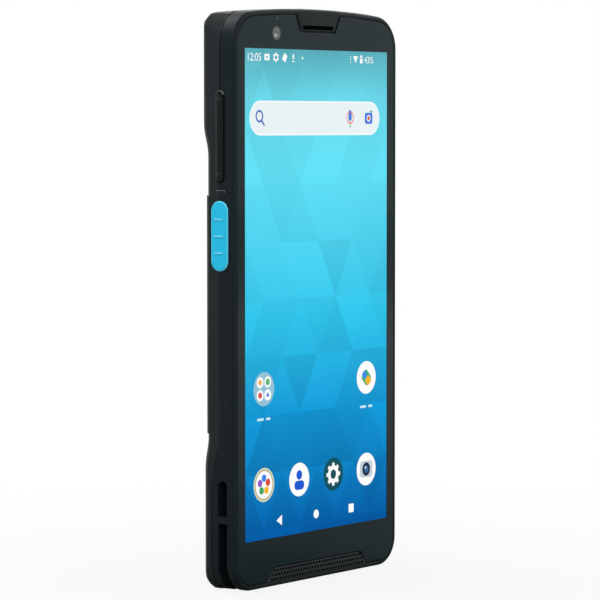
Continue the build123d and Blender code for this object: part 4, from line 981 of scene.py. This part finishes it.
bm = bmesh.new()
minus_z = ROCKER_MIDDLE.z - SIGN_REACH * MM
plus_z = ROCKER_MIDDLE.z + SIGN_REACH * MM
raised_bar(bm, rocker_low.x, ROCKER_MIDDLE.y, minus_z, SIGN_SIZE, SIGN_WIDTH)
raised_bar(bm, rocker_low.x, ROCKER_MIDDLE.y, plus_z, SIGN_SIZE, SIGN_WIDTH)
raised_bar(bm, rocker_low.x, ROCKER_MIDDLE.y, plus_z, SIGN_WIDTH, SIGN_SIZE)
pale_mark = moulded("key_marks", srgb(52, 58, 59), roughness=0.5, sheen=0.2)
finished(bm, "rocker_signs", pale_mark, body="rocker", smooth=False)

MARK_DEPTH = 4.7
MARK_HEIGHT = 110.8
MARK_WIDTH = 3.0
MARK_LINE = 0.16
MARK_END_WIDTH = 0.2
MARK_END_HEIGHT = 0.6
MARK_END_DROP = 0.3

bm = bmesh.new()
raised_bar(bm, -SIDE, deep(MARK_DEPTH), MARK_HEIGHT * MM, MARK_WIDTH, MARK_LINE)
for side in (-1, 1):
    end = deep(MARK_DEPTH + side * (MARK_WIDTH - MARK_END_WIDTH) / 2)
    low = (MARK_HEIGHT - MARK_END_DROP) * MM
    raised_bar(bm, -SIDE, end, low, MARK_END_WIDTH, MARK_END_HEIGHT)
# The raised mark is coloured pale as a painted highlight along it.
wall_mark_highlight = moulded("wall_mark", srgb(98, 103, 103), roughness=0.5, sheen=0.2)
finished(bm, "wall_mark", wall_mark_highlight, smooth=False)

flex = moulded("flex_amber", srgb(160, 92, 30), roughness=0.35, sheen=0.5)
for name in ("left_key_switches", "right_key_switches"):
    finish_node(name, flex)

# ---------------------------------------------------------------- boards and modules inside
# Glass-fibre boards on posts and pads of the front housing: the main one in the head with
# steel shield cans, the small one with the charging receptacle and the microphone. A flat
# cable under the battery well joins them, and a small motor makes the device shake.

TRACKS_PER_METRE = 700.0
TRACK_SHARE = 0.28
PORT_LIP = 0.35

solder = Finish("board_black", Specular_IOR_Level=0.45)
tracks = solder.node(
    "ShaderNodeTexVoronoi", {"distance": "CHEBYCHEV"}, solder.place(), Scale=TRACKS_PER_METRE
)
solder.feed("Base Color", solder.mix(tracks < TRACK_SHARE, srgb(18, 34, 26), srgb(30, 62, 44)))
solder.feed("Roughness", 0.35 + solder.noise(3.0) * 0.15)
solder.bump(tracks, 0.02)
for name in ("main_board", "foot_board"):
    finish_node(name, solder.material)
for name in ("shield_cans", "vibration_motor", "microphone"):
    finish_node(name, module_steel)
finish_node("board_link", flex)

port = Finish("port_steel", Specular_IOR_Level=0.2)
x, y, z = port.axes()
brushed = port.noise(0.6, 4.0)
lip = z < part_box("usb_port")[0].z + PORT_LIP * MM
lip_steel = port.mix(brushed, srgb(150, 152, 154), srgb(188, 190, 192))
port.feed("Base Color", port.mix(lip, srgb(14, 15, 16), lip_steel))
port.feed("Metallic", lip)
port.feed("Roughness", 0.25 + brushed * 0.1)
finish_node("usb_port", port.material)

# ---------------------------------------------------------------- scan engine and its window
# Imager in a die-cast alloy frame, carried on two ribs of the front housing. A dark pane
# that lets infrared through lies on a ledge in the top end, in front of it.

finish_node("scan_engine", metal("engine_alloy", srgb(120, 124, 128), roughness=0.45))
pane = Finish("scan_window", Specular_IOR_Level=0.12)
tint = pane.mix(pane.noise(6.0), (0.010, 0.002, 0.003, 1), (0.020, 0.004, 0.006, 1))
pane.feed("Base Color", tint)
pane.feed("Roughness", 0.12 + pane.noise(8.0) * 0.06)
finish_node("scan_window", pane.material)

# ---------------------------------------------------------------- rear camera
# Autofocus camera and flash lamp under one pill-shaped window, bonded into the back. The
# window is smoked but for a clear round over the lens and another over the lamp.

REAR_LENS_X = 20.0
REAR_LENS_Z = TOP / MM - 14.3
REAR_LENS_RADIUS = 3.0
FLASH_DROP = 8.2
FLASH_RADIUS = 1.7
SMOKE_CLEARED = 0.9
PHOSPHOR_PER_METRE = 2600.0

finish_node("rear_camera", camera_black)
lens_pane = Finish("camera_window", Specular_IOR_Level=0.2)
x, y, z = lens_pane.axes()
over_lens = off_centre(x, z, REAR_LENS_X, REAR_LENS_Z) < REAR_LENS_RADIUS
over_lamp = off_centre(x, z, REAR_LENS_X, REAR_LENS_Z - FLASH_DROP) < FLASH_RADIUS
smoke = lens_pane.mix(lens_pane.noise(6.0), (0.003, 0.003, 0.004, 1), (0.006, 0.006, 0.008, 1))
lens_pane.feed("Base Color", smoke)
lens_pane.feed("Alpha", 1.0 - over_lens.either(over_lamp) * SMOKE_CLEARED)
lens_pane.feed("Roughness", 0.04 + lens_pane.noise(8.0) * 0.04)
finish_node("rear_camera_window", lens_pane.material)

flash = Finish("flash_lamp", Specular_IOR_Level=0.5)
phosphor = flash.node("ShaderNodeTexVoronoi", {}, flash.place(), Scale=PHOSPHOR_PER_METRE)
flash.feed("Base Color", flash.mix(phosphor, srgb(214, 196, 92), srgb(240, 228, 160)))
flash.feed("Roughness", 0.25 + phosphor * 0.2)
finish_node("flash_lamp", flash.material)

# ---------------------------------------------------------------- battery pack
# Wrapped lithium cell with its contact pads and the near-field loop, under a full-width
# cover that the hand lifts off the back. Springs in the well's connector meet the pads.

foil = Finish("cell_foil", Specular_IOR_Level=0.4)
creases = foil.noise(3.5, 4.0)
foil.feed("Base Color", foil.mix(creases, srgb(52, 54, 58), srgb(78, 81, 86)))
foil.feed("Roughness", 0.28 + creases * 0.2)
foil.bump(creases, 0.05)
finish_node("battery_cell", foil.material)
gold = metal("contact_gold", srgb(226, 180, 92), roughness=0.22)
for name in ("battery_pads", "battery_contacts"):
    finish_node(name, gold)
finish_node("near_field_antenna", metal("antenna_copper", srgb(196, 122, 78), roughness=0.3))
finish_node("battery_connector", moulded("connector_black", srgb(30, 30, 32), roughness=0.5))
cover_plastic = moulded(
    "cover_plastic", srgb(34, 41, 42), roughness=0.54, sheen=0.16, grain=0.34, relief=0.02
)
refined("battery_cover", cover_plastic, body="battery_pack", edge=0.12)

# ---------------------------------------------------------------- stage, light and camera
# The object stands on a wide sheet of pale paper in an evenly lit white room. Four square
# softboxes stand round it, and a long lens looks at it from the left, a little from above.

FLOOR_SIZE = 6000.0
# The paper is painted darker towards the object: a painted shadow round it, which also shows in
# the glass's reflection of the floor.
PAPER_SHADE_GREYS = [(0.0, (0.3, 0.3, 0.3, 1)), (0.4, (0.62, 0.62, 0.62, 1)), (1.0, (0.9, 0.9, 0.9, 1))]
SHADOW_REACH = 0.25
SHADOW_SHARE = 0.12
ROOM_LEVEL = 0.68
SOFTBOX_SIZE = 0.8
RAYS = ("Is Camera Ray", "Is Glossy Ray", "Is Transmission Ray")


def white_where_seen(nodes, shader, rays=RAYS, kept=None):
    """Plain white over a shader for the camera, mirrors and glass, less a share that is kept."""
    seen = nodes.node("ShaderNodeLightPath", {}, output=rays[0])
    for ray in rays[1:]:
        seen = seen.either(nodes.node("ShaderNodeLightPath", {}, output=ray))
    if kept is not None:
        seen = (seen - kept).either(0.0)
    glow = nodes.node("ShaderNodeEmission", {})
    return nodes.node("ShaderNodeMixShader", {}, seen, shader, glow)


paper = Finish("floor", Roughness=1.0, Specular_IOR_Level=0.0)
x, y, z = paper.axes()
distance = (x * x + y * y) ** 0.5
paper.feed("Base Color", paper.node("ShaderNodeValToRGB", {"stops": PAPER_SHADE_GREYS}, distance))
shadow = ((1.0 - distance / SHADOW_REACH) * SHADOW_SHARE).either(0.0)
lit_paper = Signal(paper, paper.shader.outputs[0])
paper.end(white_where_seen(paper, lit_paper, RAYS[:1], shadow), "Material Output")

mesh = bpy.data.meshes.new("floor")
bm = rectangle(FLOOR_SIZE, FLOOR_SIZE)
bm.to_mesh(mesh)
bm.free()
floor = placed("floor", mesh, paper.material)
floor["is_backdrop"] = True

world = bpy.data.worlds.new("studio")
bpy.context.scene.world = world
room = Nodes(world)
daylight = room.tree.nodes["Background"]
daylight.inputs["Color"].default_value = (1, 1, 1, 1)
daylight.inputs["Strength"].default_value = ROOM_LEVEL
room.end(white_where_seen(room, Signal(room, daylight.outputs[0])), "World Output")


def softbox(name, spot, power):
    """A square lamp that looks at the middle of the object."""
    light = bpy.data.lights.new(name, "AREA")
    light.size = SOFTBOX_SIZE
    light.energy = power
    lamp = bpy.data.objects.new(name, light)
    bpy.context.scene.collection.objects.link(lamp)
    lamp.location = spot
    aim = Vector((0, 0, TOP / 2)) - Vector(spot)
    lamp.rotation_euler = aim.to_track_quat("-Z", "Y").to_euler()
    lamp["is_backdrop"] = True


softbox("key_light", (-0.9, -0.5, 1.1), 8.0)
softbox("fill_light", (0.9, -0.9, 0.7), 3.5)
softbox("back_light", (1.0, 0.35, 0.7), 7.0)
softbox("top_light", (-0.1, 0.9, 1.2), 10.0)

CAMERA_PLACE = (-0.7025, -0.5180, 0.1290)
CAMERA_HEADING = math.radians(53.57)
CAMERA_DIP = math.radians(3.28)
CAMERA_LENS = 184.4
CAMERA_SENSOR = 36.0

lens = bpy.data.cameras.new("camera")
lens.lens = CAMERA_LENS
lens.sensor_width = CAMERA_SENSOR
lens.clip_start = 0.05
lens.clip_end = 50.0
camera = bpy.data.objects.new("camera", lens)
bpy.context.scene.collection.objects.link(camera)
camera.location = CAMERA_PLACE
ahead = Vector((
    math.sin(CAMERA_HEADING) * math.cos(CAMERA_DIP),
    math.cos(CAMERA_HEADING) * math.cos(CAMERA_DIP),
    -math.sin(CAMERA_DIP),
))
camera.rotation_euler = ahead.to_track_quat("-Z", "Y").to_euler()
bpy.context.scene.camera = camera
bpy.context.scene.view_settings.view_transform = "Standard"

low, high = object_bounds()
